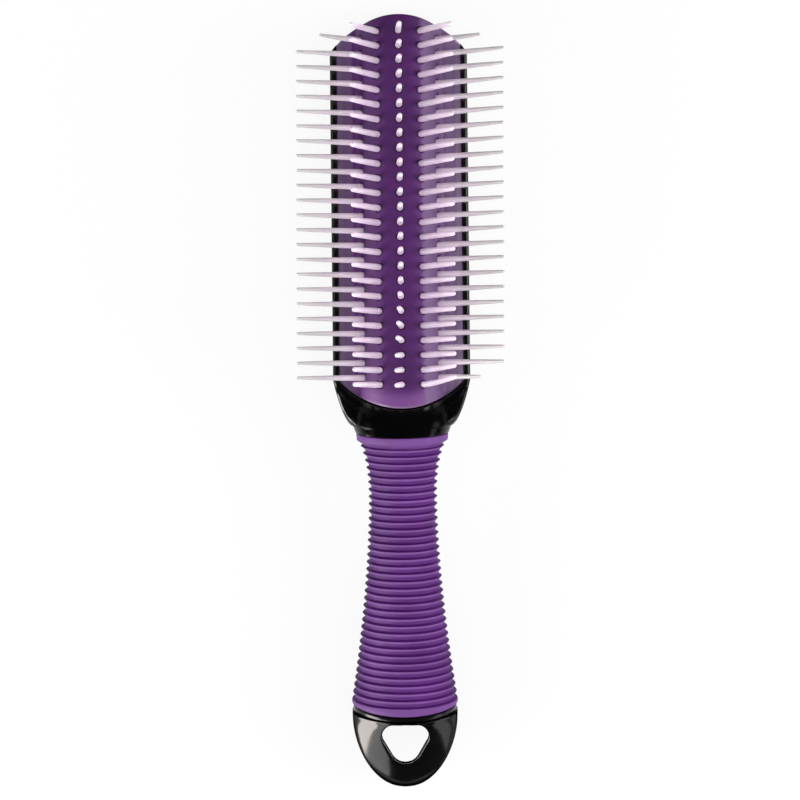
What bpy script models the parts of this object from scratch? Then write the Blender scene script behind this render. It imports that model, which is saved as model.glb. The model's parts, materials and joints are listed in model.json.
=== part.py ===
"""A styling brush that lies on its back, pins up, built in metres at its real size.

The head is a tray with two rails. A rubber pad slides into the rails from the tip, and five strips
of pins stand out through the pad's crown. The handle's tang runs on inside a ribbed rubber sleeve,
and an end cap with a hanging hole closes it.

Brush frame: X across, Y from the neck towards the tip, Z out of the pad. Its origin is on the
pad's centre line, at the neck end of the pad, level with the top of the pad's flange.
Grip frame: X across, Y out of the front of the grip, Z along the grip towards the tail. Its
origin is on the grip's axis at the sleeve's front lip.
"""

import math

import bmesh
import bpy
from mathutils import Matrix, Vector

# Clearance between pieces that touch, and how far a cutter or a joined shape runs past a face
GAP = 0.0003
OVERRUN = 0.002
EMBED = 0.0008

# Head of the frame
HEAD_HALF_WIDTH = 0.0192
HEAD_DEPTH = 0.009
BACK_LAND_HALF_WIDTH = 0.010
SIDE_DEPTH = 0.002
RAIL_TOP = 0.0015
RAIL_WIDTH = 0.0019
SIDE_WALL = 0.0009
LEDGE_WIDTH = 0.0033
FLOOR_THICKNESS = 0.0025
BACK_ROUND_POWER = 2.2

# Bed that carries the crown: cross ribs and one spine along the middle
BED_RIB_COUNT = 7
BED_RIB_THICKNESS = 0.0015
BED_SPINE_WIDTH = 0.0016
BED_MARGIN = 0.013

# Shoulder and neck, measured from the pad's neck end
BELLY_START = 0.024
SHOULDER_START = 0.0081
CROWN_BLEND_START = 0.0010
COLLAR_SETBACK = 0.0045
COLLAR_RADIUS = 0.0136
SHOULDER_POWER = 1.65
NECK_SETBACK = 0.00661
NECK_DROP = 0.0015

# Pad
PAD_LENGTH = 0.10985
TIP_ARC_SPREAD = 0.0038
NECK_ARC_SPREAD = 0.0043
FLANGE_THICKNESS = 0.002
CROWN_RADIUS = 0.0125
CROWN_RISE = 0.0084
CROWN_WALL = 0.0026
CROWN_FILLET = 0.0015
END_WALL = 0.002

# Pins and the bars that they are moulded on
PIN_PITCH = 0.004105
NECK_PIN_SETBACK = 0.00672
TIP_PIN_MARGIN = 0.0045
INNER_ROW_ANGLE = math.radians(25.5)
OUTER_ROW_ANGLE = math.radians(58.5)
PIN_LENGTH = 0.0215
SHORT_PIN_LENGTH = 0.0138
PIN_ROOT_RADIUS = 0.0009
PIN_TIP_RADIUS = 0.00055
PIN_TIP_RISE = 0.0004
PIN_SIDES = 6
BAR_WIDTH = 0.003
BAR_THICKNESS = 0.0012
BAR_OVERHANG = 0.0013

# Grip sleeve
GRIP_TILT = math.radians(9.5)
GRIP_DEPTH_SHARE = 0.85
LIP_RADIUS = 0.01305
WAIST_RADIUS = 0.00964
TAIL_RADIUS = 0.01498
WAIST_AT = 0.018
LIP_FLARE_POWER = 2.35
TAIL_FLARE_POWER = 1.7
LIP_LENGTH = 0.0020
LIP_DROP = 0.0005
FIRST_RIB_AT = 0.00355
RIB_PITCH = 0.002072
RIB_COUNT = 36
RIB_HEIGHT = 0.0009
RIB_FALL_SHARE = 0.61
END_LIP_LENGTH = 0.0023
SLEEVE_WALL = 0.0026
BORE_STATIONS = 9

# Tang inside the sleeve
TANG_EMBED = 0.004
CORE_RADIUS = 0.0046
CORE_START = 0.010

# Retaining ring and end cap
RING_LENGTH = 0.0015
RING_RADIUS = 0.0146
CAP_HALF_WIDTH = 0.0149
CAP_LENGTH = 0.02155
CAP_TIP_HALF_DEPTH = 0.004
CAP_OUTLINE_POWER = 1.85
CAP_OUTLINE_ROOT = 0.52
CAP_WEDGE_POWER = 1.2
CAP_EDGE_POWER = 8
CAP_END_SHARE = 0.995
CAP_CROWDING = 0.9
SPIGOT_RADIUS = 0.0075
SPIGOT_LENGTH = 0.013
HOLE_SETBACK = 0.00295
HOLE_HEIGHT = 0.0114
HOLE_HALF_WIDTH = 0.0066
HOLE_CORNER_RADIUS = 0.00345
HOLE_FOOT_RADIUS = 0.0043

# Facets
TURN_STEPS = 20
CROWN_STEPS = 14
FILLET_STEPS = 3
ARC_STEPS = 15
SECTION_STEPS = 22
SECTION_EDGE_ANGLE = math.radians(6)
SHOULDER_STEPS = 9
BELLY_STEPS = 4
CAP_STEPS = 9
CAP_SIDES = 24
CORNER_STEPS = 5
SHARP_ANGLE = math.radians(35)

# Colours, as written in a picture, and how rough each finish is
BLACK = (0.045, 0.045, 0.048)
RUBBER_PURPLE = (0.33, 0.18, 0.39)
GRIP_PURPLE = (0.47, 0.28, 0.56)
PIN_WHITE = (0.86, 0.81, 0.87)
GLOSS = 0.18
SATIN = 0.38
MATTE = 0.55

# Points closer than this are one point
WELD = GAP / 100

# Places that follow from the sizes above. The pad's end arcs are wider than the head by their
# spreads, and the odd number of facets keeps their corners off the middle line.
TIP_ARC_RADIUS = HEAD_HALF_WIDTH + TIP_ARC_SPREAD
NECK_ARC_RADIUS = HEAD_HALF_WIDTH + NECK_ARC_SPREAD
RAIL_INNER = HEAD_HALF_WIDTH - RAIL_WIDTH
GROOVE_HALF_WIDTH = HEAD_HALF_WIDTH - SIDE_WALL
CAVITY_HALF_WIDTH = GROOVE_HALF_WIDTH - LEDGE_WIDTH
FLANGE_HALF_WIDTH = GROOVE_HALF_WIDTH - GAP
FLOOR_TOP = FLOOR_THICKNESS - HEAD_DEPTH
LEDGE_TOP = -FLANGE_THICKNESS - GAP
CROWN_CENTRE = CROWN_RISE - CROWN_RADIUS
TUNNEL_RADIUS = CROWN_RADIUS - CROWN_WALL
BAR_CORNER_RADIUS = TUNNEL_RADIUS * math.cos(math.pi / CROWN_STEPS / 2) - GAP
BAR_FACE = math.sqrt(BAR_CORNER_RADIUS**2 - (BAR_WIDTH / 2) ** 2)
BAR_BACK = BAR_FACE - BAR_THICKNESS
BED_RADIUS = BAR_BACK - GAP
LAST_RIB_AT = FIRST_RIB_AT + (RIB_COUNT - 1) * RIB_PITCH
SLEEVE_LENGTH = LAST_RIB_AT + END_LIP_LENGTH
RING_START = SLEEVE_LENGTH + GAP
CAP_START = RING_START + RING_LENGTH + GAP
SOCKET_RADIUS = SPIGOT_RADIUS + GAP
SOCKET_START = CAP_START - SPIGOT_LENGTH - GAP


def clear_scene():
    for obj in list(bpy.data.objects):
        bpy.data.objects.remove(obj)


def new_collection(name, parent):
    collection = bpy.data.collections.new(name)
    parent.children.link(collection)
    return collection


def linear(level):
    """A picture's colour level as the linear value that a shader takes."""
    return level / 12.92 if level <= 0.04045 else ((level + 0.055) / 1.055) ** 2.4


def material(name, colour, roughness):
    made = bpy.data.materials.new(name)
    made.use_nodes = True
    shader = made.node_tree.nodes["Principled BSDF"]
    shader.inputs["Base Color"].default_value = (*map(linear, colour), 1)
    shader.inputs["Roughness"].default_value = roughness
    shader.inputs["Metallic"].default_value = 0
    made.diffuse_color = (*colour, 1)
    return made


def empty(name, parent=None):
    made = bpy.data.objects.new(name, None)
    bpy.context.scene.collection.objects.link(made)
    made.parent = parent
    return made


def place(name, mesh, collection, parent):
    """An object for this mesh, carried by its parent."""
    obj = bpy.data.objects.new(name, mesh)
    collection.objects.link(obj)
    obj.parent = parent
    return obj


def as_cutter(obj):
    obj.hide_render = True
    obj.display_type = "WIRE"
    return obj


def combine(obj, operation, other):
    """A Boolean on obj, with one other object or with a whole collection of them."""
    modifier = obj.modifiers.new(operation.lower(), "BOOLEAN")
    modifier.operation = operation
    modifier.solver = "EXACT"
    if isinstance(other, bpy.types.Collection):
        modifier.operand_type = "COLLECTION"
        modifier.collection = other
    else:
        modifier.object = other


def shade(obj):
    obj.data.shade_smooth()
    obj.data.set_sharp_from_angle(angle=SHARP_ANGLE)


def tidy(mesh):
    """Welds a shape's loose seams and turns its faces outwards."""
    bm = bmesh.new()
    bm.from_mesh(mesh)
    bmesh.ops.remove_doubles(bm, verts=bm.verts, dist=WELD)
    bmesh.ops.recalc_face_normals(bm, faces=bm.faces)
    bm.to_mesh(mesh)
    bm.free()
    return mesh


def slab(name, outline, thickness):
    """A flat shape with this outline in X and Y, its middle at zero height."""
    curve = bpy.data.curves.new(name, "CURVE")
    curve.dimensions = "2D"
    curve.fill_mode = "BOTH"
    curve.extrude = thickness / 2
    spline = curve.splines.new("POLY")
    spline.points.add(len(outline) - 1)
    for point, (x, y) in zip(spline.points, outline):
        point.co = (x, y, 0, 1)
    spline.use_cyclic_u = True
    carrier = bpy.data.objects.new(name, curve)
    bpy.context.scene.collection.objects.link(carrier)
    bpy.context.view_layer.update()
    graph = bpy.context.evaluated_depsgraph_get()
    mesh = bpy.data.meshes.new_from_object(carrier.evaluated_get(graph))
    bpy.data.objects.remove(carrier)
    return tidy(mesh)


def upright_slab(name, outline, low, high):
    """The plan outline, filled from one height to another."""
    mesh = slab(name, outline, high - low)
    mesh.transform(Matrix.Translation((0, 0, (high + low) / 2)))
    return mesh


def extrusion(name, section, start, end):
    """The section, an outline in X and Z, carried along Y from start to end."""
    mesh = slab(name, section, end - start)
    along = Matrix.Translation((0, (start + end) / 2, 0)) @ Matrix.Rotation(math.pi / 2, 4, "X")
    mesh.transform(along)
    return mesh


def loft(name, rings):
    """A closed body through rings that have the same number of points, in order."""
    bm = bmesh.new()
    rows = [[bm.verts.new(point) for point in ring] for ring in rings]
    for low, high in zip(rows, rows[1:]):
        for i, point in enumerate(low):
            j = (i + 1) % len(low)
            bm.faces.new((point, low[j], high[j], high[i]))
    bm.faces.new(rows[0])
    bm.faces.new(rows[-1])
    bmesh.ops.recalc_face_normals(bm, faces=bm.faces)
    mesh = bpy.data.meshes.new(name)
    bm.to_mesh(mesh)
    bm.free()
    return mesh


def turned(name, profile, collection, parent, closed):
    """A profile of (radius, height), running down its outer side, turned about the grip's axis.

    The grip is shallower than it is wide, so the shape is pressed in along Y. A facet, and not
    an edge, faces the front and the back.
    """
    half_step = math.pi / TURN_STEPS
    points = [
        (radius * math.cos(half_step), radius * math.sin(half_step), height)
        for radius, height in profile
    ]
    edges = [(i, i + 1) for i in range(len(points) - 1)]
    if closed:
        edges.append((len(points) - 1, 0))
    mesh = bpy.data.meshes.new(name)
    mesh.from_pydata(points, edges, [])
    obj = place(name, mesh, collection, parent)
    obj.scale = (1, GRIP_DEPTH_SHARE, 1)
    screw = obj.modifiers.new("turn", "SCREW")
    screw.axis = "Z"
    screw.steps = TURN_STEPS
    screw.render_steps = TURN_STEPS
    screw.use_merge_vertices = True
    screw.merge_threshold = WELD
    screw.use_smooth_shade = False
    return obj


def mirrored(half):
    """An outline from its +X half, given in order. A point on the middle line isn't repeated."""
    return half + [(-x, y) for x, y in reversed(half) if x > WELD]


def arc(centre, radius, start, end, steps):
    """Points on a circle, with the angles measured from +X."""
    angles = [start + (end - start) * i / steps for i in range(steps + 1)]
    return [(centre[0] + radius * math.cos(a), centre[1] + radius * math.sin(a)) for a in angles]


def neck_arc(half_width, radius):
    """The pad's neck end in plan, from +X to -X, for a piece of this half width."""
    reach = math.asin(half_width / radius)
    middle = -math.pi / 2
    return arc((0, NECK_ARC_RADIUS), radius, middle + reach, middle - reach, ARC_STEPS)


def tip_arc(half_width, radius):
    """The head's tip in plan, from -X to +X, for a piece of this half width."""
    reach = math.asin(half_width / radius)
    middle = math.pi / 2
    centre = (0, PAD_LENGTH - TIP_ARC_RADIUS)
    return arc(centre, radius, middle + reach, middle - reach, ARC_STEPS)


def crown_half(radius, foot):
    """The right half of a round crown in X and Z, from the height foot up to the top."""
    start = math.asin((foot - CROWN_CENTRE) / radius)
    return arc((0, CROWN_CENTRE), radius, start, math.pi / 2, CROWN_STEPS // 2)


def pad_section():
    """Flange, concave fillet and crown."""
    fillet_x = math.sqrt((CROWN_RADIUS + CROWN_FILLET) ** 2 - (CROWN_FILLET - CROWN_CENTRE) ** 2)
    lean = math.atan2(CROWN_FILLET - CROWN_CENTRE, fillet_x)
    fillet = arc((fillet_x, CROWN_FILLET), CROWN_FILLET, -math.pi / 2, lean - math.pi, FILLET_STEPS)
    crown = arc((0, CROWN_CENTRE), CROWN_RADIUS, lean, math.pi / 2, CROWN_STEPS // 2)
    flange = [(FLANGE_HALF_WIDTH, -FLANGE_THICKNESS), (FLANGE_HALF_WIDTH, 0)]
    return mirrored(flange + fillet + crown[1:])


def tunnel_section():
    """The hollow below the crown, open at the bottom."""
    crown = crown_half(TUNNEL_RADIUS, -FLANGE_THICKNESS)
    return mirrored([(crown[0][0], -FLANGE_THICKNESS - OVERRUN)] + crown)


def pocket_section():
    """What the pad takes out of the head, with the rails left standing."""
    half = [
        (GROOVE_HALF_WIDTH, LEDGE_TOP),
        (GROOVE_HALF_WIDTH, GAP),
        (RAIL_INNER, GAP),
        (RAIL_INNER, CROWN_RISE + LIP_RADIUS),
    ]
    return mirrored(half)


def smooth(share):
    """Eases from 0 to 1 as share goes from 0 to 1."""
    share = min(max(share, 0), 1)
    return share * share * (3 - 2 * share)


def head_half_width(y):
    """Half the frame's width at this distance along the brush."""
    if y >= SHOULDER_START:
        return HEAD_HALF_WIDTH
    share = (SHOULDER_START - y) / (SHOULDER_START + COLLAR_SETBACK)
    if share <= 1:
        return COLLAR_RADIUS + (HEAD_HALF_WIDTH - COLLAR_RADIUS) * (1 - share**SHOULDER_POWER)
    share = (-COLLAR_SETBACK - y) / (NECK_SETBACK - COLLAR_SETBACK)
    return COLLAR_RADIUS + (LIP_RADIUS - COLLAR_RADIUS) * min(share, 1)


def top_height(x):
    """Height of the head's top, flush with the pad's crown."""
    crown = math.sqrt(max(CROWN_RADIUS**2 - x**2, 0)) + CROWN_CENTRE
    return max(crown, RAIL_TOP)


def back_height(x):
    """Height of the head's rounded back, flat in the middle."""
    out = max(abs(x) - BACK_LAND_HALF_WIDTH, 0) / (HEAD_HALF_WIDTH - BACK_LAND_HALF_WIDTH)
    rise = 1 - (1 - min(out, 1) ** BACK_ROUND_POWER) ** (1 / BACK_ROUND_POWER)
    return -HEAD_DEPTH + (HEAD_DEPTH - SIDE_DEPTH) * rise


def frame_ring(y):
    """One section of the frame's outside, which goes over from the head's to the grip's oval."""
    half_width = head_half_width(y)
    top_share = smooth((CROWN_BLEND_START - y) / (CROWN_BLEND_START + NECK_SETBACK))
    back_share = smooth((BELLY_START - y) / (BELLY_START + NECK_SETBACK))
    depth = LIP_RADIUS * GRIP_DEPTH_SHARE * math.cos(GRIP_TILT)
    ring = []
    for side, share, height in ((1, top_share, top_height), (-1, back_share, back_height)):
        for i in range(SECTION_STEPS + 1):
            sweep = math.pi - 2 * SECTION_EDGE_ANGLE
            angle = SECTION_EDGE_ANGLE + sweep * i / SECTION_STEPS
            x = side * half_width * math.cos(angle) / math.cos(SECTION_EDGE_ANGLE)
            oval = side * depth * math.sin(angle) - NECK_DROP
            z = (1 - share) * height(x) + share * oval
            lean = share * math.tan(GRIP_TILT) * (z + NECK_DROP)
            ring.append(Vector((x, y - lean, z)))
    return ring


def steps(start, end, count):
    return [start + (end - start) * i / count for i in range(1, count + 1)]


def frame_body():
    """Head, shoulder and neck in one, before anything is cut from it."""
    places = [PAD_LENGTH + OVERRUN, BELLY_START]
    places += steps(BELLY_START, SHOULDER_START, BELLY_STEPS)
    places += steps(SHOULDER_START, -COLLAR_SETBACK, SHOULDER_STEPS)
    places += steps(-COLLAR_SETBACK, GAP - NECK_SETBACK, 2)
    return loft("handle_frame", [frame_ring(y) for y in places])


def bed_ribs():
    """Cross ribs that stand on the floor of the head, with round tops that carry the pin bars."""
    foot = FLOOR_TOP - EMBED
    outline = mirrored([(BED_RADIUS, foot)] + crown_half(BED_RADIUS, CROWN_CENTRE))
    rib = extrusion("bed_rib", outline, -BED_RIB_THICKNESS / 2, BED_RIB_THICKNESS / 2)
    bm = bmesh.new()
    for i in range(BED_RIB_COUNT):
        share = i / (BED_RIB_COUNT - 1)
        y = BED_MARGIN + (PAD_LENGTH - 2 * BED_MARGIN) * share
        shift_all(bm, rib, Matrix.Translation((0, y, 0)))
    mesh = bpy.data.meshes.new("bed_ribs")
    bm.to_mesh(mesh)
    bm.free()
    return mesh


def shift_all(bm, mesh, matrix):
    """Adds a copy of the mesh, moved by the matrix."""
    before = len(bm.verts)
    bm.from_mesh(mesh)
    bm.verts.ensure_lookup_table()
    bmesh.ops.transform(bm, matrix=matrix, verts=bm.verts[before:])


def box_mesh(name, low, high):
    bm = bmesh.new()
    bmesh.ops.create_cube(bm, size=1)
    size = Vector(high) - Vector(low)
    middle = (Vector(high) + Vector(low)) / 2
    bmesh.ops.transform(
        bm, matrix=Matrix.Translation(middle) @ Matrix.Diagonal((*size, 1)), verts=bm.verts
    )
    mesh = bpy.data.meshes.new(name)
    bm.to_mesh(mesh)
    bm.free()
    return mesh


def crest_radius(along):
    """Radius of the ribs' crests: a waist near the neck, flaring to the lip and to the tail."""
    if along < WAIST_AT:
        share = (WAIST_AT - max(along, 0)) / WAIST_AT
        return WAIST_RADIUS + (LIP_RADIUS - WAIST_RADIUS) * share**LIP_FLARE_POWER
    share = min((along - WAIST_AT) / (LAST_RIB_AT - WAIST_AT), 1)
    return WAIST_RADIUS + (TAIL_RADIUS - WAIST_RADIUS) * share**TAIL_FLARE_POWER


def bore_profile(clearance):
    """Radius and height of the sleeve's bore, made smaller by the clearance, from lip to tail."""
    places = [0] + steps(0, SLEEVE_LENGTH, BORE_STATIONS)
    return [(crest_radius(place) - SLEEVE_WALL - clearance, place) for place in places]


def sleeve_profile():
    """Lip, saw-tooth ribs, end lip and bore, running from the tail down the outer side."""
    lip_foot = FIRST_RIB_AT - RIB_PITCH * (1 - RIB_FALL_SHARE)
    outer = [(LIP_RADIUS, 0), (crest_radius(LIP_LENGTH) + LIP_DROP, LIP_LENGTH)]
    outer.append((crest_radius(lip_foot) - RIB_HEIGHT, lip_foot))
    for i in range(RIB_COUNT - 1):
        crest = FIRST_RIB_AT + i * RIB_PITCH
        valley = crest + RIB_PITCH * RIB_FALL_SHARE
        outer.append((crest_radius(crest), crest))
        outer.append((crest_radius(valley) - RIB_HEIGHT, valley))
    outer.append((TAIL_RADIUS, LAST_RIB_AT))
    outer.append((TAIL_RADIUS, LAST_RIB_AT + END_LIP_LENGTH / 2))
    outer.append((TAIL_RADIUS - LIP_DROP, SLEEVE_LENGTH))
    return outer[::-1] + bore_profile(0)


def tang_profile():
    outer = bore_profile(GAP)[::-1]
    foot = (outer[-1][0], -TANG_EMBED)
    return [(0, SLEEVE_LENGTH)] + outer + [foot, (0, -TANG_EMBED)]


def core_profile():
    """The socket for the cap's spigot, and the narrower bore beyond it."""
    end = SLEEVE_LENGTH + OVERRUN
    return [
        (0, end),
        (SOCKET_RADIUS, end),
        (SOCKET_RADIUS, SOCKET_START),
        (CORE_RADIUS, SOCKET_START),
        (CORE_RADIUS, CORE_START),
        (0, CORE_START),
    ]


def ring_profile():
    inner = SPIGOT_RADIUS + GAP
    end = RING_START + RING_LENGTH
    return [(RING_RADIUS, end), (RING_RADIUS, RING_START), (inner, RING_START), (inner, end)]


def spigot_profile():
    foot = CAP_START - SPIGOT_LENGTH
    return [
        (0, CAP_START + EMBED),
        (SPIGOT_RADIUS, CAP_START + EMBED),
        (SPIGOT_RADIUS, foot),
        (0, foot),
    ]


def cap_ring(share):
    """One section of the end cap, at this share of its length."""
    half_width = CAP_HALF_WIDTH * (1 - share**CAP_OUTLINE_POWER) ** CAP_OUTLINE_ROOT
    rim_depth = CAP_HALF_WIDTH * GRIP_DEPTH_SHARE
    wedge = CAP_TIP_HALF_DEPTH + (rim_depth - CAP_TIP_HALF_DEPTH) * (1 - share) ** CAP_WEDGE_POWER
    half_depth = wedge * math.sqrt(1 - share**CAP_EDGE_POWER)
    along = CAP_START + CAP_LENGTH * share
    points = []
    for i in range(CAP_SIDES):
        angle = 2 * math.pi * (i + 0.5) / CAP_SIDES
        points.append((half_width * math.cos(angle), half_depth * math.sin(angle), along))
    return points


def cap_body():
    """The rings lie closer together towards the tail, where the outline turns fastest."""
    turns = [math.pi / 2 * i / CAP_STEPS for i in range(CAP_STEPS + 1)]
    shares = [CAP_END_SHARE * math.sin(turn) ** CAP_CROWDING for turn in turns]
    return loft("end_cap", [cap_ring(share) for share in shares])


def hanging_hole():
    """A triangle with round corners, flat side towards the grip, in plan."""
    rim = -NECK_SETBACK - CAP_START * math.cos(GRIP_TILT)
    top = rim - HOLE_SETBACK
    corner = (HOLE_HALF_WIDTH - HOLE_CORNER_RADIUS, top - HOLE_CORNER_RADIUS)
    foot = (0, top - HOLE_HEIGHT + HOLE_FOOT_RADIUS)
    run = math.hypot(corner[0] - foot[0], corner[1] - foot[1])
    slope = math.atan2(corner[1] - foot[1], corner[0] - foot[0])
    lean = slope - math.acos((HOLE_FOOT_RADIUS - HOLE_CORNER_RADIUS) / run)
    right = arc(foot, HOLE_FOOT_RADIUS, -math.pi / 2, lean, CORNER_STEPS)
    right += arc(corner, HOLE_CORNER_RADIUS, lean, math.pi / 2, CORNER_STEPS)
    return mirrored(right)


def build_frame(lay, grip, parts, cutters):
    frame = place("handle_frame", frame_body(), parts, lay)
    reach = HEAD_HALF_WIDTH + EMBED
    tail_end = -NECK_SETBACK - LIP_RADIUS
    outline = tip_arc(reach, TIP_ARC_RADIUS) + [(reach, tail_end), (-reach, tail_end)]
    tall = HEAD_DEPTH + LIP_RADIUS
    keep = upright_slab("tip_keep", outline, -tall, tall)
    combine(frame, "INTERSECT", as_cutter(place("tip_keep", keep, cutters, lay)))
    pocket = extrusion("pocket", pocket_section(), -OVERRUN, PAD_LENGTH + 2 * OVERRUN)
    pocket = as_cutter(place("pocket", pocket, cutters, lay))
    wide = GROOVE_HALF_WIDTH + EMBED
    end = PAD_LENGTH + OVERRUN
    outline = neck_arc(wide, NECK_ARC_RADIUS + GAP) + [(-wide, end), (wide, end)]
    plan = upright_slab("pocket_plan", outline, -HEAD_DEPTH, tall)
    combine(pocket, "INTERSECT", as_cutter(place("pocket_plan", plan, cutters, lay)))
    combine(frame, "DIFFERENCE", pocket)
    outline = neck_arc(CAVITY_HALF_WIDTH, NECK_ARC_RADIUS - EMBED)
    outline += tip_arc(CAVITY_HALF_WIDTH, TIP_ARC_RADIUS - END_WALL)
    cavity = upright_slab("cavity", outline, FLOOR_TOP, LEDGE_TOP + EMBED)
    combine(frame, "DIFFERENCE", as_cutter(place("cavity", cavity, cutters, lay)))
    combine(frame, "UNION", as_cutter(place("bed_ribs", bed_ribs(), cutters, lay)))
    half = BED_SPINE_WIDTH / 2
    spine_top = CROWN_CENTRE + BED_RADIUS * math.cos(math.pi / CROWN_STEPS) - EMBED
    spine = box_mesh(
        "bed_spine",
        (-half, BED_MARGIN, FLOOR_TOP - EMBED),
        (half, PAD_LENGTH - BED_MARGIN, spine_top),
    )
    combine(frame, "UNION", as_cutter(place("bed_spine", spine, cutters, lay)))
    combine(frame, "UNION", as_cutter(turned("tang", tang_profile(), cutters, grip, False)))
    combine(frame, "DIFFERENCE", as_cutter(turned("core", core_profile(), cutters, grip, False)))
    frame.data.materials.append(material("black_plastic", BLACK, GLOSS))
    return frame


def pin_mesh(start, end, root, tip):
    """One pin along Z, with a low point on its end and two of its corners straight across."""
    side_on = Matrix.Rotation(math.pi / PIN_SIDES, 4, "Z")
    bm = bmesh.new()
    bmesh.ops.create_cone(
        bm,
        cap_ends=True,
        segments=PIN_SIDES,
        radius1=root,
        radius2=tip,
        depth=end - start,
        matrix=Matrix.Translation((0, 0, (start + end) / 2)) @ side_on,
    )
    if tip < root:
        end_face = max(bm.faces, key=lambda face: face.calc_center_median().z)
        bmesh.ops.poke(bm, faces=[end_face], offset=PIN_TIP_RISE)
    mesh = bpy.data.meshes.new("pin")
    bm.to_mesh(mesh)
    bm.free()
    return mesh


def row_places(is_outer):
    """Distances along the brush of a row's pins, from the neck. The outer rows are staggered."""
    room = PAD_LENGTH - NECK_PIN_SETBACK - TIP_PIN_MARGIN
    pitches = int(room / PIN_PITCH)
    start = NECK_PIN_SETBACK + (PIN_PITCH / 2 if is_outer else 0)
    return [start + i * PIN_PITCH for i in range(pitches + (0 if is_outer else 1))]


def comb(name, places, lengths, start, root, tip):
    """Pins side by side along Y, each standing along Z."""
    bm = bmesh.new()
    for y, length in zip(places, lengths):
        pin = pin_mesh(start, CROWN_RADIUS + length, root, tip)
        shift_all(bm, pin, Matrix.Translation((0, y, 0)))
    mesh = bpy.data.meshes.new(name)
    bm.to_mesh(mesh)
    bm.free()
    return mesh


def turn_to_row(obj, angle):
    obj.location = (0, 0, CROWN_CENTRE)
    obj.rotation_euler = (0, angle, 0)
    return obj


def build_pin_row(name, angle, lay, parts, cutters, holes):
    is_outer = abs(angle) == OUTER_ROW_ANGLE
    places = row_places(is_outer)
    lengths = [PIN_LENGTH] * len(places)
    if is_outer:
        lengths[-1] = SHORT_PIN_LENGTH
    bar = box_mesh(
        name,
        (-BAR_WIDTH / 2, places[0] - BAR_OVERHANG, BAR_BACK),
        (BAR_WIDTH / 2, places[-1] + BAR_OVERHANG, BAR_FACE),
    )
    row = turn_to_row(place(name, bar, parts, lay), angle)
    middle = (BAR_BACK + BAR_FACE) / 2
    pins = comb(name + "_pins", places, lengths, middle, PIN_ROOT_RADIUS, PIN_TIP_RADIUS)
    pins = turn_to_row(as_cutter(place(name + "_pins", pins, cutters, lay)), angle)
    combine(row, "UNION", pins)
    bore = PIN_ROOT_RADIUS + GAP / math.cos(math.pi / PIN_SIDES)
    reach = [OVERRUN] * len(places)
    hole = comb(name + "_holes", places, reach, BAR_FACE, bore, bore)
    turn_to_row(as_cutter(place(name + "_holes", hole, holes, lay)), angle)
    row.data.materials.append(material(name + "_nylon", PIN_WHITE, SATIN))
    return row


def build_pad(lay, parts, cutters, holes):
    body = extrusion("pad", pad_section(), -OVERRUN, PAD_LENGTH + OVERRUN)
    pad = place("pad", body, parts, lay)
    half = FLANGE_HALF_WIDTH + GAP
    outline = neck_arc(half, NECK_ARC_RADIUS) + tip_arc(half, TIP_ARC_RADIUS)
    tall = CROWN_RISE + OVERRUN
    plan = upright_slab("pad_plan", outline, -tall, tall)
    combine(pad, "INTERSECT", as_cutter(place("pad_plan", plan, cutters, lay)))
    tunnel = extrusion("tunnel", tunnel_section(), -2 * OVERRUN, PAD_LENGTH)
    tunnel = as_cutter(place("tunnel", tunnel, cutters, lay))
    half = TUNNEL_RADIUS + GAP
    inner_tip = tip_arc(half, TIP_ARC_RADIUS - END_WALL)
    outline = [(half, -OVERRUN), (-half, -OVERRUN)] + inner_tip
    plan = upright_slab("tunnel_plan", outline, -tall, tall)
    combine(tunnel, "INTERSECT", as_cutter(place("tunnel_plan", plan, cutters, lay)))
    combine(pad, "DIFFERENCE", tunnel)
    combine(pad, "DIFFERENCE", holes)
    pad.data.materials.append(material("pad_rubber", RUBBER_PURPLE, SATIN))
    return pad


def build_grip(grip, parts):
    sleeve = turned("grip_sleeve", sleeve_profile(), parts, grip, True)
    sleeve.data.materials.append(material("grip_rubber", GRIP_PURPLE, MATTE))
    ring = turned("retaining_ring", ring_profile(), parts, grip, True)
    ring.data.materials.append(material("ring_plastic", BLACK, GLOSS))
    return [sleeve, ring]


def build_cap(lay, grip, parts, cutters):
    cap = place("end_cap", cap_body(), parts, grip)
    spigot = as_cutter(turned("spigot", spigot_profile(), cutters, grip, False))
    combine(cap, "UNION", spigot)
    middle = -NECK_DROP - (CAP_START + CAP_LENGTH / 2) * math.sin(GRIP_TILT)
    tall = CAP_HALF_WIDTH + OVERRUN
    hole = upright_slab("hanging_hole", hanging_hole(), middle - tall, middle + tall)
    combine(cap, "DIFFERENCE", as_cutter(place("hanging_hole", hole, cutters, lay)))
    cap.data.materials.append(material("cap_plastic", BLACK, GLOSS))
    return cap


def side_points(objects):
    """Every corner of the finished pieces, seen from the side, in the scene's frame."""
    bpy.context.view_layer.update()
    graph = bpy.context.evaluated_depsgraph_get()
    points = []
    for obj in objects:
        evaluated = obj.evaluated_get(graph)
        mesh = evaluated.to_mesh()
        points += [evaluated.matrix_world @ vertex.co for vertex in mesh.vertices]
        evaluated.to_mesh_clear()
    return points


def underside(points):
    """The lower edge of the brush's side view as a stretched string, from tail to tip."""
    chain = []
    for y, z in sorted({(point.y, point.z) for point in points}):
        while len(chain) > 1:
            (y0, z0), (y1, z1) = chain[-2:]
            if (y1 - y0) * (z - z0) - (z1 - z0) * (y - y0) > 0:
                break
            chain.pop()
        chain.append((y, z))
    return chain


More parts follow.
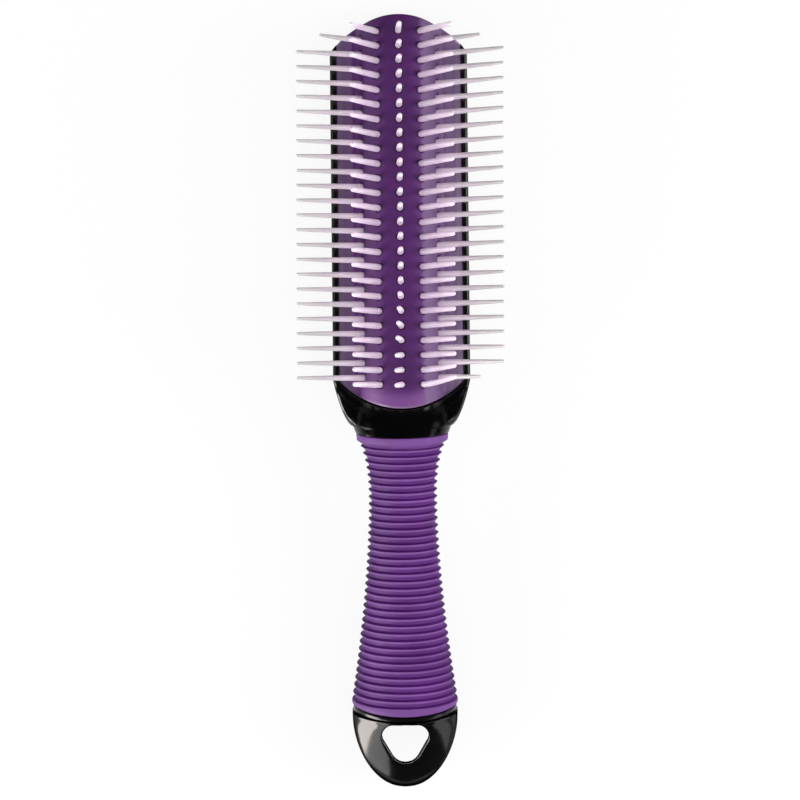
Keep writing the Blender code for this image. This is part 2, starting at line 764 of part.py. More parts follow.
def lay_down(lay, objects):
    """Turns the brush to rest on its longest free span, and centres it on the floor."""
    chain = underside(side_points(objects))
    spans = list(zip(chain, chain[1:]))
    (y0, z0), (y1, z1) = max(spans, key=lambda span: span[1][0] - span[0][0])
    lay.rotation_euler = (-math.atan2(z1 - z0, y1 - y0), 0, 0)
    points = side_points(objects)
    low = [min(point[axis] for point in points) for axis in range(3)]
    high = [max(point[axis] for point in points) for axis in range(3)]
    lay.location = (-(low[0] + high[0]) / 2, -(low[1] + high[1]) / 2, -low[2])


def main():
    clear_scene()
    scene = bpy.context.scene
    parts = new_collection("hair_grooming_brush", scene.collection)
    cutters = new_collection("cutters", scene.collection)
    holes = new_collection("pin_holes", cutters)
    lay = empty("brush_lay")
    grip = empty("grip_axis", lay)
    grip.location = (0, -NECK_SETBACK, -NECK_DROP)
    grip.rotation_euler = (math.pi / 2 + GRIP_TILT, 0, 0)
    rows = {
        "pin_row_centre": 0,
        "pin_row_left_inner": -INNER_ROW_ANGLE,
        "pin_row_right_inner": INNER_ROW_ANGLE,
        "pin_row_left_outer": -OUTER_ROW_ANGLE,
        "pin_row_right_outer": OUTER_ROW_ANGLE,
    }
    objects = [build_frame(lay, grip, parts, cutters)]
    objects += [
        build_pin_row(name, angle, lay, parts, cutters, holes) for name, angle in rows.items()
    ]
    objects.append(build_pad(lay, parts, cutters, holes))
    objects += build_grip(grip, parts)
    objects.append(build_cap(lay, grip, parts, cutters))
    for obj in objects:
        shade(obj)
    lay_down(lay, objects)


if __name__ == "__main__":
    main()
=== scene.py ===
"""Gives a packed styling brush its fine surfaces, its finishes and a studio stage.

Brush axes: X across, Y from the neck towards the tip, Z out of the pad. Their origin is on the
pad's middle line, at its neck end, level with the top of its flange.
Grip axes: X across, Y out of the grip's front, Z along the grip towards the tail. Their origin is
on the grip's axis at the sleeve's front lip.
A surface is its points, its faces and its shade, a number per point that the finish reads.
"""

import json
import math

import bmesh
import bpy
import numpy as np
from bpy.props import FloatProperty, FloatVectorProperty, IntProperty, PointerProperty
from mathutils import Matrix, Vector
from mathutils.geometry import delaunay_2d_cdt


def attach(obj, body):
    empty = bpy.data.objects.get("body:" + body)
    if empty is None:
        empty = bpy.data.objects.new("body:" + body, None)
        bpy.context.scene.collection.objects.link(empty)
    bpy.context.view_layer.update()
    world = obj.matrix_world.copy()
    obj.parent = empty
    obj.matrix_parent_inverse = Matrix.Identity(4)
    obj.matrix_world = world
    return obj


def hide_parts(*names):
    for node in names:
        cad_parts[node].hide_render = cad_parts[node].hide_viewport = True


bl_info = {
    "name": "Styling Brush",
    "version": (1, 0, 0),
    "blender": (4, 5, 0),
    "location": "3D View > Sidebar > Styling Brush",
    "description": "Builds a styling brush around its packed frame, piece by piece",
    "category": "Add Mesh",
}

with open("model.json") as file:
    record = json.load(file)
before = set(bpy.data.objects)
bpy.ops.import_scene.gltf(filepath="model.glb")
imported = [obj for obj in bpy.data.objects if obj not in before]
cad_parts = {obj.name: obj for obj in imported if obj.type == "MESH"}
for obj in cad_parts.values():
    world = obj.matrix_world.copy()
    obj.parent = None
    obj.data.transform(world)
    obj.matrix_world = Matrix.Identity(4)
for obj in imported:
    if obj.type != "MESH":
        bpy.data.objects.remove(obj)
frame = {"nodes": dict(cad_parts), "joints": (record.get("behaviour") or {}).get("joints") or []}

HANDLE = "handle"
PAD_ASSEMBLY = "pad_assembly"
WELD = 2e-6
CLEARANCE = 0.0003
OVERLAP = 0.0008
FLANGE_ROUND = 0.0003
BAR_ROUND = 0.00025
SPIGOT_ROUND = 0.0004
SHARP_ANGLE = math.radians(38)
EDGE_ANGLE = math.radians(6)  # half the turn that the head's side wall takes

# Columns round the pieces, and rings along them
FRAME_STEPS, SLEEVE_STEPS, RING_STEPS, SPIGOT_STEPS, PIN_STEPS = 90, 96, 128, 64, 12
ROW_STEPS, GAP_STEPS, FOOT_STEPS = 19, 6, 4  # on a row of pins, between two rows, beyond the last
PAD_RINGS, NECK_RINGS, CAP_RINGS = 400, 44, 44
CAP_SIDE_STEPS, CAP_TOP_STEPS = 60, 16
WALL_ROUNDS, RIM_ROUNDS = 12, 30  # repeats that find the neck wall and the hanging hole's rim

# Frame and pad, as shares of a length or a width
STEP = 0.0001  # of a length, over which a wall goes up
NEARLY = 0.9999  # of the head's half width, where its outermost columns are held
TIP_WALL = 0.018  # of the tray, closed at its tip
PAD_END = 0.0065  # of the pad, its rounded end
OPENING = 0.7  # of the neck's setback, where the corner beside the rails is fully open
TOP_FADE = 0.06  # of the head's half width, over which the rounding at the pad fades in from a rail
DULL_FROM, DULL_RUN = 0.3, 1.2  # of a rail's width, where the dull top begins and how it fades in
HOLE_REACH, HOLE_RIM, HOLE_SLOPE = 1.25, 1.12, 0.22  # of a pin hole's radius: columns, rim and slope
NO_ROW = 9.0  # a lean far from every row of pins
FADE = 1.5  # what a shade fades from, which is past 1, so that it stays full at first

# Pins: the power of their taper and bend, rings along the shaft, and shares of sway, sweep and stray
PIN_POWER = 1.5
SHAFT_PLACES = (0, 0.3, 0.55, 0.8)
UPRIGHT_AT = 0.4  # of a row's length, where the sway changes side
CENTRE_SWAY, CENTRE_SWEEP = 0.4, (0.5, 1.5)
RIGHT_SWEEP, FIRST_SWEEPS = 0.8, (2.0, 0.9)  # the right outer row, and the right inner row's first two
FIRST_STRAY = 1.25
# Painted shade on the outer rows' pins starts from this level at their roots
ROOT_GREY = 0.3  # shade at the roots of the outer rows

# Sleeve: powers of a rib's flanks, and the places and heights of its two plain lips
RIB_FALL, RIB_RISE, FIRST_RISE = 1.8, 1.4, 1.7
LIP_EDGE, LIP_PLACES, LIP_HEIGHTS = (0, 0.00012, 0.0004), (0.6, 0.9, 1.0), (-0.9, -0.35, 0, 0.6, 0.95, 0.7)
END_EDGE, END_OUTER, END_FALLS = 0.0004, 0.0001, (0.15, 0, 0, 0.1, 0.5, 1.0)
VALLEY_FROM, VALLEY_RUN = 0.28, 0.3  # of a crest's fall, where its shade goes over to the valley's
# Levels of the grip's painted light: on the lips, at the crest, in the valley and at the foot of the fall
LIP_SHADE, CREST_SHADE, VALLEY_SHADE, FOOT_SHADE = 0.8, 0.5, 0.5, 0.35

# Cap: rings over the rounded rim of its hole, and the power at which the dull edge widens
RIM_RINGS = (0, 0.02, 0.08, 0.2, 0.4, 0.65, 1.0)
DULL_POWER = 8

SENSOR = 36
CLIP = (0.05, 20)
FLOOR_GLOW = 0.88

# Name, place and size in brush axes, power, the rays that don't see it, and colour
WHITE = (1.0, 1.0, 1.0)
WARM = (1.0, 0.92, 0.86)
LAMPS = (
    ("left_box", (-0.79, -0.50, 0.147), (0.75, 0.36), 14.4, "visible_diffuse", WARM),
    ("left_low", (-0.46, -0.86, 0.141), (0.30, 0.35), 1.15, "visible_diffuse", WHITE),
    ("left_upper", (-0.67, -0.56, 0.39), (0.62, 0.15), 4.4, "visible_diffuse", WHITE),
    ("right_box", (0.78, -0.48, 0.233), (0.78, 0.42), 1.7, "visible_diffuse", WHITE),
    ("left_strip", (-0.85, 0.06, 0.35), (0.40, 0.20), 0.28, None, WHITE),
    ("right_strip", (0.85, 0.06, 0.35), (0.40, 0.20), 1.15, None, WHITE),
    ("left_fill", (-0.75, -0.30, 0.30), (0.6, 0.5), 6.0, "visible_glossy", WHITE),
    ("right_fill", (0.75, -0.10, 0.45), (0.6, 0.6), 6.5, "visible_glossy", WHITE),
    ("fill", (0.0, -0.35, 1.4), (1.5, 1.5), 13.0, "visible_glossy", WHITE),
)


# ---------------------------------------------------------------- sizes and colours


def length(label, default, description, low=0.0):
    return FloatProperty(
        name=label, description=description, default=default, min=low, unit="LENGTH", precision=5
    )


def angle(label, degrees, description):
    turn = math.radians(degrees)
    return FloatProperty(name=label, description=description, default=turn, subtype="ANGLE")


def share(label, default, description, high=10.0):
    return FloatProperty(
        name=label, description=description, default=default, min=0, max=high, precision=3
    )


def count(label, default, description):
    return IntProperty(name=label, description=description, default=default, min=1)


def colour(label, default, description):
    return FloatVectorProperty(
        name=label, description=description, default=default, size=3, min=0, max=1, subtype="COLOR"
    )


class HeadSizes(bpy.types.PropertyGroup):
    """Head, shoulder and neck of the frame"""

    half_width: length("Half width", 0.0192, "From the middle to the outside of a rail")
    depth: length("Depth", 0.009, "From the flange's top down to the back")
    land: length("Flat of the back", 0.010, "Half the width of the back's flat middle")
    side_depth: length("Side depth", 0.002, "How far the side wall runs down before it rounds")
    back_power: share("Back roundness", 2.2, "Power of the back's rounded edge")
    rail_top: length("Rail top", 0.0015, "Height of the rails over the flange")
    rail_width: length("Rail width", 0.0019, "Width of a rail seen from above")
    rail_round: length("Rail rounding", 0.0003, "Radius of a rail's outer edge")
    rail_bevel: length("Rail bevel", 0.0008, "Width of the bevel along a rail's outer side")
    rail_slope: angle("Rail slope", 34.0, "Slope of that bevel")
    edge_round: length("Edge rounding", 0.0003, "Radius of a rail's inner edge")
    side_wall: length("Side wall", 0.0009, "Wall outside the groove")
    ledge: length("Ledge", 0.0033, "Width of the ledge that the flange lies on")
    floor: length("Floor", 0.0025, "Thickness of the tray's floor")
    belly_start: length("Belly start", 0.024, "Where the back begins to narrow")
    shoulder_start: length("Shoulder start", 0.0081, "Where the sides begin to narrow")
    blend_start: length("Top blend start", 0.001, "Where the top goes over to the oval")
    shoulder_slant: share("Shoulder slant", 0.48, "Share of the shoulder that is straight", 1.0)
    collar_setback: length("Collar setback", 0.0045, "From the pad's end to the collar")
    collar_radius: length("Collar radius", 0.0138, "Half width at the collar")
    neck_setback: length("Neck setback", 0.00661, "From the pad's end to the sleeve")
    neck_drop: length("Neck drop", 0.0015, "Grip's axis below the flange's top, at the neck")
    rib_count: count("Bed ribs", 7, "Cross ribs that carry the crown")
    rib_thickness: length("Bed rib thickness", 0.0015, "Thickness of a cross rib")
    spine_width: length("Bed spine width", 0.0016, "Width of the rib along the middle")
    rib_margin: length("Bed margin", 0.013, "From the pad's ends to the first and last rib")


class PadSizes(bpy.types.PropertyGroup):
    """Rubber pad"""

    length: length("Length", 0.10985, "Along the middle line")
    tip_spread: length("Tip spread", 0.0038, "Tip arc's radius beyond the head's half width")
    neck_spread: length("Neck spread", 0.0043, "Neck arc's radius beyond the head's half width")
    flange: length("Flange thickness", 0.002, "Thickness of the flange in the rails")
    crown_radius: length("Crown radius", 0.0125, "Radius of the round crown")
    crown_rise: length("Crown rise", 0.0084, "Height of the crown over the flange's top")
    crown_wall: length("Crown wall", 0.0026, "Thickness of the crown")
    fillet: length("Fillet", 0.0015, "Radius between crown and flange")
    end_wall: length("End wall", 0.002, "Closed wall at the tip")
    end_round: length("End rounding", 0.0007, "Radius of the pad's end edges")
    # Where the painted sheen on the crown's right side begins
    painted_sheen_from: length("Dull side", 0.0056, "Where the right side begins to be duller")
    hole_radius: length("Hole radius", 0.00108, "Radius of the hole that a pin stands in")
    hole_depth: length("Hole depth", 0.0006, "Visible depth of the hole round a pin")


class PinSizes(bpy.types.PropertyGroup):
    """Pins and the bars that they are moulded on"""

    pitch: length("Pitch", 0.004105, "Distance between pins along a row")
    neck_setback: length("Neck setback", 0.00672, "From the pad's neck end to the first pin")
    tip_margin: length("Tip margin", 0.0045, "From the last pin to the pad's tip")
    inner_angle: angle("Inner row", 29.5, "Place of the inner rows round the crown")
    outer_angle: angle("Outer row", 60.0, "Place of the outer rows round the crown")
    inner_tilt: angle("Inner tilt", 8.7, "How much steeper than the radius inner pins stand")
    outer_tilt: angle("Outer tilt", 3.5, "How much steeper than the radius outer pins stand")
    length: length("Length", 0.0215, "Length of a pin outside the crown")
    short_length: length("Short length", 0.0138, "Length of the outer rows' last pin")
    root_radius: length("Root radius", 0.0009, "Radius where the pin leaves the bar")
    tip_radius: length("Tip radius", 0.00065, "Radius just below the round tip")
    outer_tip_radius: length("Outer tip radius", 0.00042, "The same in the outer rows")
    sweep: length("Sweep", 0.0009, "How far the centre row's last tips bend to the neck")
    sway: length("Sway", 0.0008, "How far the pins' tips lean to the right")
    stray: length("Stray", 0.0014, "How far the neck end's centre pins bend to the left")
    strays: count("Strays", 6, "Number of those pins")
    bar_width: length("Bar width", 0.003, "Width of the bar under the crown")
    bar_thickness: length("Bar thickness", 0.0012, "Thickness of the bar")
    bar_overhang: length("Bar overhang", 0.0013, "Bar beyond the first and the last pin")


class GripSizes(bpy.types.PropertyGroup):
    """Ribbed sleeve and the tang inside it"""

    tilt: angle("Tilt", 9.5, "Grip's axis against the head")
    depth_share: share("Depth share", 0.85, "Grip's depth as a share of its width", 1.0)
    lip_radius: length("Lip radius", 0.01305, "Half width at the front lip")
    waist_radius: length("Waist radius", 0.00964, "Half width at the waist")
    tail_radius: length("Tail radius", 0.01498, "Half width at the tail")
    waist_at: length("Waist place", 0.018, "From the front lip to the waist")
    lip_power: share("Front flare", 2.35, "Power of the flare towards the lip")
    tail_power: share("Tail flare", 1.7, "Power of the flare towards the tail")
    lip_length: length("Lip length", 0.002, "Plain band at the front")
    lip_drop: length("Lip drop", 0.0005, "How much lower the lip's edges are")
    first_rib: length("First rib", 0.00355, "From the front lip to the first crest")
    pitch: length("Rib pitch", 0.002072, "Distance between crests")
    ribs: count("Ribs", 36, "Number of ribs")
    rib_height: length("Rib height", 0.0009, "From valley to crest")
    fall: share("Fall share", 0.76, "Share of the pitch on the tail side of a crest", 1.0)
    end_lip: length("End lip length", 0.0023, "Plain band at the tail")
    wall: length("Wall", 0.0026, "Thickness of the sleeve")
    lean: share("Rib lean", 0.05, "How far the last ribs lean to the tail, over their depth")
    bow: length("Joint bow", 0.0010, "How far the tail joint's sides lie towards the neck")


class CapSizes(bpy.types.PropertyGroup):
    """Retaining ring and end cap"""

    ring_length: length("Ring length", 0.0015, "Length of the retaining ring")
    ring_radius: length("Ring radius", 0.0146, "Half width of the retaining ring")
    ring_round: length("Ring rounding", 0.0004, "Radius of the ring's edges")
    half_width: length("Half width", 0.0149, "Half width at the front face")
    length: length("Length", 0.02145, "From the front face to the tail")
    tail_depth: length("Tail half depth", 0.004, "Half the depth at the tail")
    outline_power: share("Outline power", 1.85, "Roundness of the outline")
    outline_root: share("Outline root", 0.50, "Fullness of the outline")
    wedge_power: share("Wedge power", 1.25, "How the depth falls towards the tail")
    section_fall: share("Section fall", 0.52, "How much lower the section is at its sides", 1.0)
    section_corner: share("Section corner", 60.0, "Power of the section's rounded sides", 80.0)
    section_start: share("Section start", 0.75, "Share of that section at the front", 1.0)
    section_run: length("Section run", 0.005, "How far the front goes over to that section")
    edge_power: share("Edge power", 10.0, "How late the depth rounds off at the tail")
    front_round: length("Front rounding", 0.0005, "Radius of the front edge")
    dull_edge: length("Dull edge", 0.0009, "Width of the duller edge round the outline")
    dull_tail: share("Dull tail", 3.0, "How much wider that edge is at the tail")
    spigot_radius: length("Spigot radius", 0.0075, "Radius of the plug in the tang")
    spigot_length: length("Spigot length", 0.013, "Length of the plug in the tang")
    hole_setback: length("Hole setback", 0.00295, "From the front face to the hanging hole")
    hole_height: length("Hole height", 0.0114, "Length of the hanging hole")
    hole_half_width: length("Hole half width", 0.0066, "Half the width of its flat side")
    hole_corner: length("Hole corner radius", 0.00345, "Radius of its two upper corners")
    hole_foot: length("Hole foot radius", 0.0043, "Radius of its corner at the tail")
    hole_round: length("Hole rounding", 0.0006, "Radius of its edge")


class Finishes(bpy.types.PropertyGroup):
    """Colours of the finishes, linear"""

    black: colour("Black", (0.0012, 0.0012, 0.0014), "Polished black moulding")
    pad: colour("Pad", (0.066, 0.0095, 0.106), "Purple rubber of the pad")
    # Painted light: a lighter purple for the neck end, which the pins don't shade
    neck: colour("Neck end", (0.145, 0.044, 0.200), "Pad between the pins and its neck end")
    # Painted light: a lighter purple on the left flange, and a painted sheen on the crown's right side
    dull_gloss_and_painted_light: colour("Dull sides", (0.138, 0.074, 0.180), "Left flange, and right side of the crown")
    # Painted light: a lighter right flange, also a painted highlight along the left edge and the neck end's
    # edge
    flange: colour("Right flange", (0.195, 0.120, 0.243), "Right flange, and edge at the neck")
    # Painted highlight along the pad's right edge by the rail
    rim: colour("Worn edge", (0.360, 0.260, 0.420), "Pad's right edge, along the rail")
    # Painted light: a painted highlight behind each crest, a middle level in the valleys, and painted shade
    # on the short flank up to each crest
    grip: colour("Grip", (0.198, 0.081, 0.287), "Purple rubber of the grip, on the crests")
    valley: colour("Valley", (0.092, 0.023, 0.150), "Grip in the valleys between the crests")
    groove: colour("Groove", (0.074, 0.0100, 0.131), "Grip at the foot of a crest")
    pin: colour("Pins", (0.87, 0.74, 0.86), "Pinkish white nylon")
    # Painted shade: greyer and darker towards the outer rows' tips
    pin_tip: colour("Pin tips", (0.64, 0.625, 0.61), "Greyer nylon at the outer rows' tips")
    floor: colour("Floor", (0.86, 0.86, 0.87), "Pale studio floor")


class Studio(bpy.types.PropertyGroup):
    """Camera, lamps and floor"""

    distance: length("Camera distance", 1.2, "From the flange's plane to the camera")
    aim_x: length("Aim X", -0.00062, "Place across the brush that the camera looks at", -1.0)
    aim_y: length("Aim Y", 0.0025, "Place along the brush that the camera looks at", -1.0)
    setback: length("Camera setback", 0.008, "How far the camera stands back towards the grip")
    lens: FloatProperty(name="Lens", description="Focal length in mm", default=192.9, min=1)
    roll: angle("Roll", -0.60, "Turn of the picture")
    floor_half: length("Floor half width", 3.0, "Half the width of the floor")
    lamp: share("Lamp level", 1.0, "Strength of all the lamps")
    sky: share("Sky level", 0.08, "Strength of the even light from all round")


class StylingBrush(bpy.types.PropertyGroup):
    """Everything that a user can change about the brush"""

    head: PointerProperty(type=HeadSizes)
    pad: PointerProperty(type=PadSizes)
    pins: PointerProperty(type=PinSizes)
    grip: PointerProperty(type=GripSizes)
    cap: PointerProperty(type=CapSizes)
    finish: PointerProperty(type=Finishes)
    studio: PointerProperty(type=Studio)


# ---------------------------------------------------------------- places along the brush


def crown_centre(brush):
    """Height of the crown's middle line over the flange's top."""
    return brush.pad.crown_rise - brush.pad.crown_radius


def flange_edge(brush):
    """Half the flange's width: the groove's, less a clearance."""
    return brush.head.half_width - brush.head.side_wall - CLEARANCE


def bar_face(brush):
    """Distance from the crown's middle to the outer face of a pin bar in the round tunnel."""
    pad, pins = brush.pad, brush.pins
    corner = pad.crown_radius - pad.crown_wall - CLEARANCE
    return math.sqrt(corner**2 - (pins.bar_width / 2) ** 2) - CLEARANCE / 2


def bar_back(brush):
    """The same to the bar's inner face."""
    return bar_face(brush) - brush.pins.bar_thickness


def last_crest(brush):
    """Place of the last crest: the first one's, and a pitch for each other rib."""
    return brush.grip.first_rib + (brush.grip.ribs - 1) * brush.grip.pitch


def sleeve_length(brush):
    """From the front lip to the last crest, and the end lip."""
    return last_crest(brush) + brush.grip.end_lip


def cap_start(brush):
    """Place of the cap's front face: behind sleeve and ring, with a clearance before and after the ring."""
    return sleeve_length(brush) + brush.cap.ring_length + 2 * CLEARANCE


def brush_axes(brush):
    """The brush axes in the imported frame: three unit rows and the origin.

    Y is the pad's slide and X is across. The pad's lowest point along Y is its neck end, and its
    lowest point along Z is the flange's underside.
    """
    slide = frame["joints"][0]["axis"]
    rows = np.array([[1, 0, 0], [0, slide[1], slide[2]], [0, -slide[2], slide[1]]], float)
    rows /= np.linalg.norm(rows, axis=1)[:, None]
    mesh = frame["nodes"]["pad"].data
    points = np.empty(len(mesh.vertices) * 3, np.float32)
    mesh.vertices.foreach_get("co", points)
    low = (points.reshape(-1, 3).astype(float) @ rows.T).min(axis=0)
    return rows, np.array([0, low[1], low[2] + brush.pad.flange]) @ rows


def grip_to_brush(points, brush):
    """Grip axes to brush axes: the grip's axis starts at the neck and runs down by its tilt.

    From the waist on, the sections lean towards the tail with their depth. Round the joint with the
    cap they also bow towards the neck with the square of x. Both end at the hanging hole.
    """
    grip, setback = brush.grip, brush.cap.hole_setback
    slope, rise = math.cos(grip.tilt), math.sin(grip.tilt)
    x, front, along = np.moveaxis(points, -1, 0)
    whole, start = sleeve_length(brush), cap_start(brush)
    fade = smooth((start + setback / 2 - along) / (start + setback / 2 - whole))
    lean = grip.lean * smooth((along - grip.waist_at) / (whole - grip.waist_at)) * fade
    fade = smooth((start + setback - along) / setback)
    bow = grip.bow * smooth((along - whole + grip.end_lip) / grip.end_lip) * fade
    along = along + lean * front - bow * (x / grip.tail_radius) ** 2
    y = -brush.head.neck_setback - along * slope - front * rise
    return stack(x, y, -brush.head.neck_drop - along * rise + front * slope)


# ---------------------------------------------------------------- surfaces and meshes


def join(*parts):
    """Arrays, or lists of numbers, one after the other."""
    return np.concatenate(parts)


def stack(x, y, z):
    """Points from their coordinates. A coordinate that many share is given once."""
    return np.stack(np.broadcast_arrays(x, y, z), axis=-1)


def smooth(value):
    """Eases from 0 to 1 as the value goes from 0 to 1."""
    value = np.clip(value, 0, 1)
    return value * value * (3 - 2 * value)


def quarter(distance, radius):
    """How far a quarter round has fallen at this distance from where the edge would be."""
    return radius - np.sqrt(radius**2 - np.clip(radius - distance, 0, radius) ** 2)


def eased(start, end, steps):
    """Numbers from start to end that lie closer together at both ends."""
    return start + (end - start) * (1 - np.cos(np.linspace(0, math.pi, steps))) / 2


def crowded(start, end, steps):
    """Numbers from start to end that lie closer together at the start."""
    return start + (end - start) * np.linspace(0, 1, steps) ** 2


def circle(steps):
    """Turns all the way round, evenly spaced."""
    return np.linspace(0, 2 * math.pi, steps, endpoint=False)


def quarter_turn(steps):
    """Turns from 0 to a right angle, evenly spaced."""
    return np.linspace(0, math.pi / 2, steps)


def sheet(points, shade=0.0, wrap_rows=False):
    """Quads over a grid of points whose last column joins its first, and its last row if wrapped."""
    rows, columns = points.shape[:2]
    j = np.arange(rows if wrap_rows else rows - 1)[:, None]
    i = np.arange(columns)
    low, high, k = j * columns, ((j + 1) % rows) * columns, (i + 1) % columns
    faces = np.stack([low + i, low + k, high + k, high + i], axis=-1).reshape(-1, 4)
    return points.reshape(-1, 3), faces, np.broadcast_to(shade, (rows, columns)).ravel()


def tube(rings, shade=0.0, is_open=False):
    """A tube through rings, closed by fans to the middles of its end rings, or left open at its start."""
    middles = np.broadcast_to(rings[[0, -1]].mean(axis=1, keepdims=True), (2, *rings.shape[1:]))
    shade = np.broadcast_to(shade, rings.shape[:2])
    rings, shade = join(middles[:1], rings, middles[1:]), join(shade[:1], shade, shade[-1:])
    return sheet(rings[is_open:], shade[is_open:])


def flat_fill(points):
    """Triangles that fill a closed outline, worked out in its X and Z."""
    plan = [Vector(point) for point in points[:, [0, 2]].tolist()]
    edges = [(i, (i + 1) % len(plan)) for i in range(len(plan))]
    found = delaunay_2d_cdt(plan, edges, [], 1, WELD / 10)
    origin = [sources[0] for sources in found[3]]
    faces = np.array([[origin[i] for i in face] for face in found[2]])
    return points, faces, np.zeros(len(points))


def add_piece(context, name, surfaces, finish, body, nodes, in_grip=False):
    """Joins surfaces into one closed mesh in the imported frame, and hands it to its body and its nodes.

    The surfaces are in brush axes, or in grip axes. Points nearer than the weld become one, and
    the faces are turned outwards.
    """
    brush = context.scene.styling_brush
    points = join(*(surface[0] for surface in surfaces))
    if in_grip:
        points = grip_to_brush(points, brush)
    rows, origin = brush_axes(brush)
    faces, start = [], 0
    for own, own_faces, _ in surfaces:
        faces += (own_faces + start).tolist()
        start += len(own)
    mesh = bpy.data.meshes.new(name)
    mesh.from_pydata((points @ rows + origin).tolist(), [], faces)
    layer = mesh.attributes.new("shade", "FLOAT", "POINT")
    shades = join(*(surface[2] for surface in surfaces))
    layer.data.foreach_set("value", shades.astype(np.float32))
    bm = bmesh.new()
    bm.from_mesh(mesh)
    bmesh.ops.remove_doubles(bm, verts=bm.verts, dist=WELD)
    bmesh.ops.dissolve_degenerate(bm, edges=bm.edges, dist=WELD / 4)
    bmesh.ops.recalc_face_normals(bm, faces=bm.faces)
    open_edges = sum(not edge.is_manifold for edge in bm.edges)
    bm.to_mesh(mesh)
    bm.free()
    if open_edges:
        raise RuntimeError(f"{name} has {open_edges} open edges")
    mesh.shade_smooth()
    mesh.set_sharp_from_angle(angle=SHARP_ANGLE)
    mesh.materials.append(finish)
    piece = bpy.data.objects.new(name, mesh)
    context.scene.collection.objects.link(piece)
    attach(piece, body)
    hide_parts(*nodes)


# ---------------------------------------------------------------- finishes


def new_material(name):
    finish = bpy.data.materials.new(name)
    finish.use_nodes = True
    return finish


def plug(finish, node, inputs):
    """Sets a node's inputs, each to a value or to another node's output."""
    for name, value in inputs.items():
        if isinstance(value, bpy.types.NodeSocket):
            finish.node_tree.links.new(value, node.inputs[name])
        else:
            node.inputs[name].default_value = value


def add_node(finish, kind, inputs=None, **settings):
    """Makes a node and gives its outputs."""
    node = finish.node_tree.nodes.new("ShaderNode" + kind)
    for name, value in settings.items():
        setattr(node, name, value)
    plug(finish, node, inputs or {})
    return node.outputs


def noise(finish, scale, detail, stretch=(1, 1, 1)):
    """Noise over the object's own coordinates, stretched along its axes."""
    place = add_node(finish, "TexCoord")["Object"]
    turned = add_node(finish, "Mapping", {"Vector": place, "Scale": stretch})["Vector"]
    return add_node(finish, "TexNoise", {"Vector": turned, "Scale": scale, "Detail": detail})["Fac"]


def shade_of(finish):
    """The shade of a piece's points."""
    return add_node(finish, "Attribute", attribute_name="shade")["Fac"]


def spread(finish, source, low, high, start=0.3, end=0.7):
    """Maps a source, between its start and end, to a range of numbers."""
    inputs = {"Value": source, "From Min": start, "From Max": end, "To Min": low, "To Max": high}
    return add_node(finish, "MapRange", inputs)["Result"]


def ramp(finish, source, stops):
    """A run of colours along a source: each stop is a place and a colour."""
    made = finish.node_tree.nodes.new("ShaderNodeValToRGB")
    points = made.color_ramp.elements
    while len(points) < len(stops):
        points.new(1.0)
    for point, (place, value) in zip(points, stops):
        point.position = place
        point.color = (*value, 1)
    plug(finish, made, {"Fac": source})
    return made.outputs["Color"]


def bump(finish, source, strength, distance):
    """Normals from a source read as height."""
    inputs = {"Height": source, "Strength": strength, "Distance": distance}
    return add_node(finish, "Bump", inputs)["Normal"]


def scaled(values, factor):
    """A colour times a factor, 1 at most."""
    return tuple(min(value * factor, 1) for value in values)


def mottled(finish, values, scale, detail, low, high):
    """A colour that varies between two levels of itself."""
    stops = [(0.3, scaled(values, low)), (0.7, scaled(values, high))]
    return ramp(finish, noise(finish, scale, detail), stops)


def black_plastic(name, black, roughness, dulled=None):
    """Polished moulding: near black, with a faint flow in its gloss and a trace of fine scratches.

    Where the shade is 1, its specular level is the dulled one, if that is given: there it is left
    as moulded.
    """
    finish = new_material(name)
    wear = noise(finish, 420, 4, (1, 0.25, 1))
    inputs = {
        "Base Color": mottled(finish, black, 90, 3, 0.8, 1.3),
        "Roughness": spread(finish, wear, roughness * 0.8, roughness * 1.3),
        "IOR": 1.40,
        "Normal": bump(finish, noise(finish, 1400, 3, (1, 0.15, 1)), 0.04, 0.00002),
    }
    if dulled is not None:
        inputs["Specular IOR Level"] = spread(finish, shade_of(finish), 0.5, dulled, 0, 1)
    plug(finish, finish.node_tree.nodes["Principled BSDF"], inputs)
    return finish


def satin(name, stops, cloud, gloss, skin, inputs, lowest=0):
    """A moulded skin whose colour is picked by the shade, from its lowest up to 1.

    Soft noise varies the colour between two levels (cloud: scale, low, high) and the roughness
    (gloss: scale, detail, low, high), and fine noise is its bump (skin: scale, detail, strength, distance).
    """
    finish = new_material(name)
    place = shade_of(finish)
    if lowest:
        place = spread(finish, place, 0, 1, lowest, 1)
    level = spread(finish, noise(finish, cloud[0], 4), *cloud[1:])
    mix = {"Factor": 1, "A": ramp(finish, place, stops), "B": level}
    inputs = {
        "Base Color": add_node(finish, "Mix", mix, data_type="RGBA", blend_type="MULTIPLY")["Result"],
        "Roughness": spread(finish, noise(finish, *gloss[:2]), *gloss[2:]),
        "Normal": bump(finish, noise(finish, *skin[:2]), *skin[2:]),
        **inputs,
    }
    plug(finish, finish.node_tree.nodes["Principled BSDF"], inputs)
    return finish


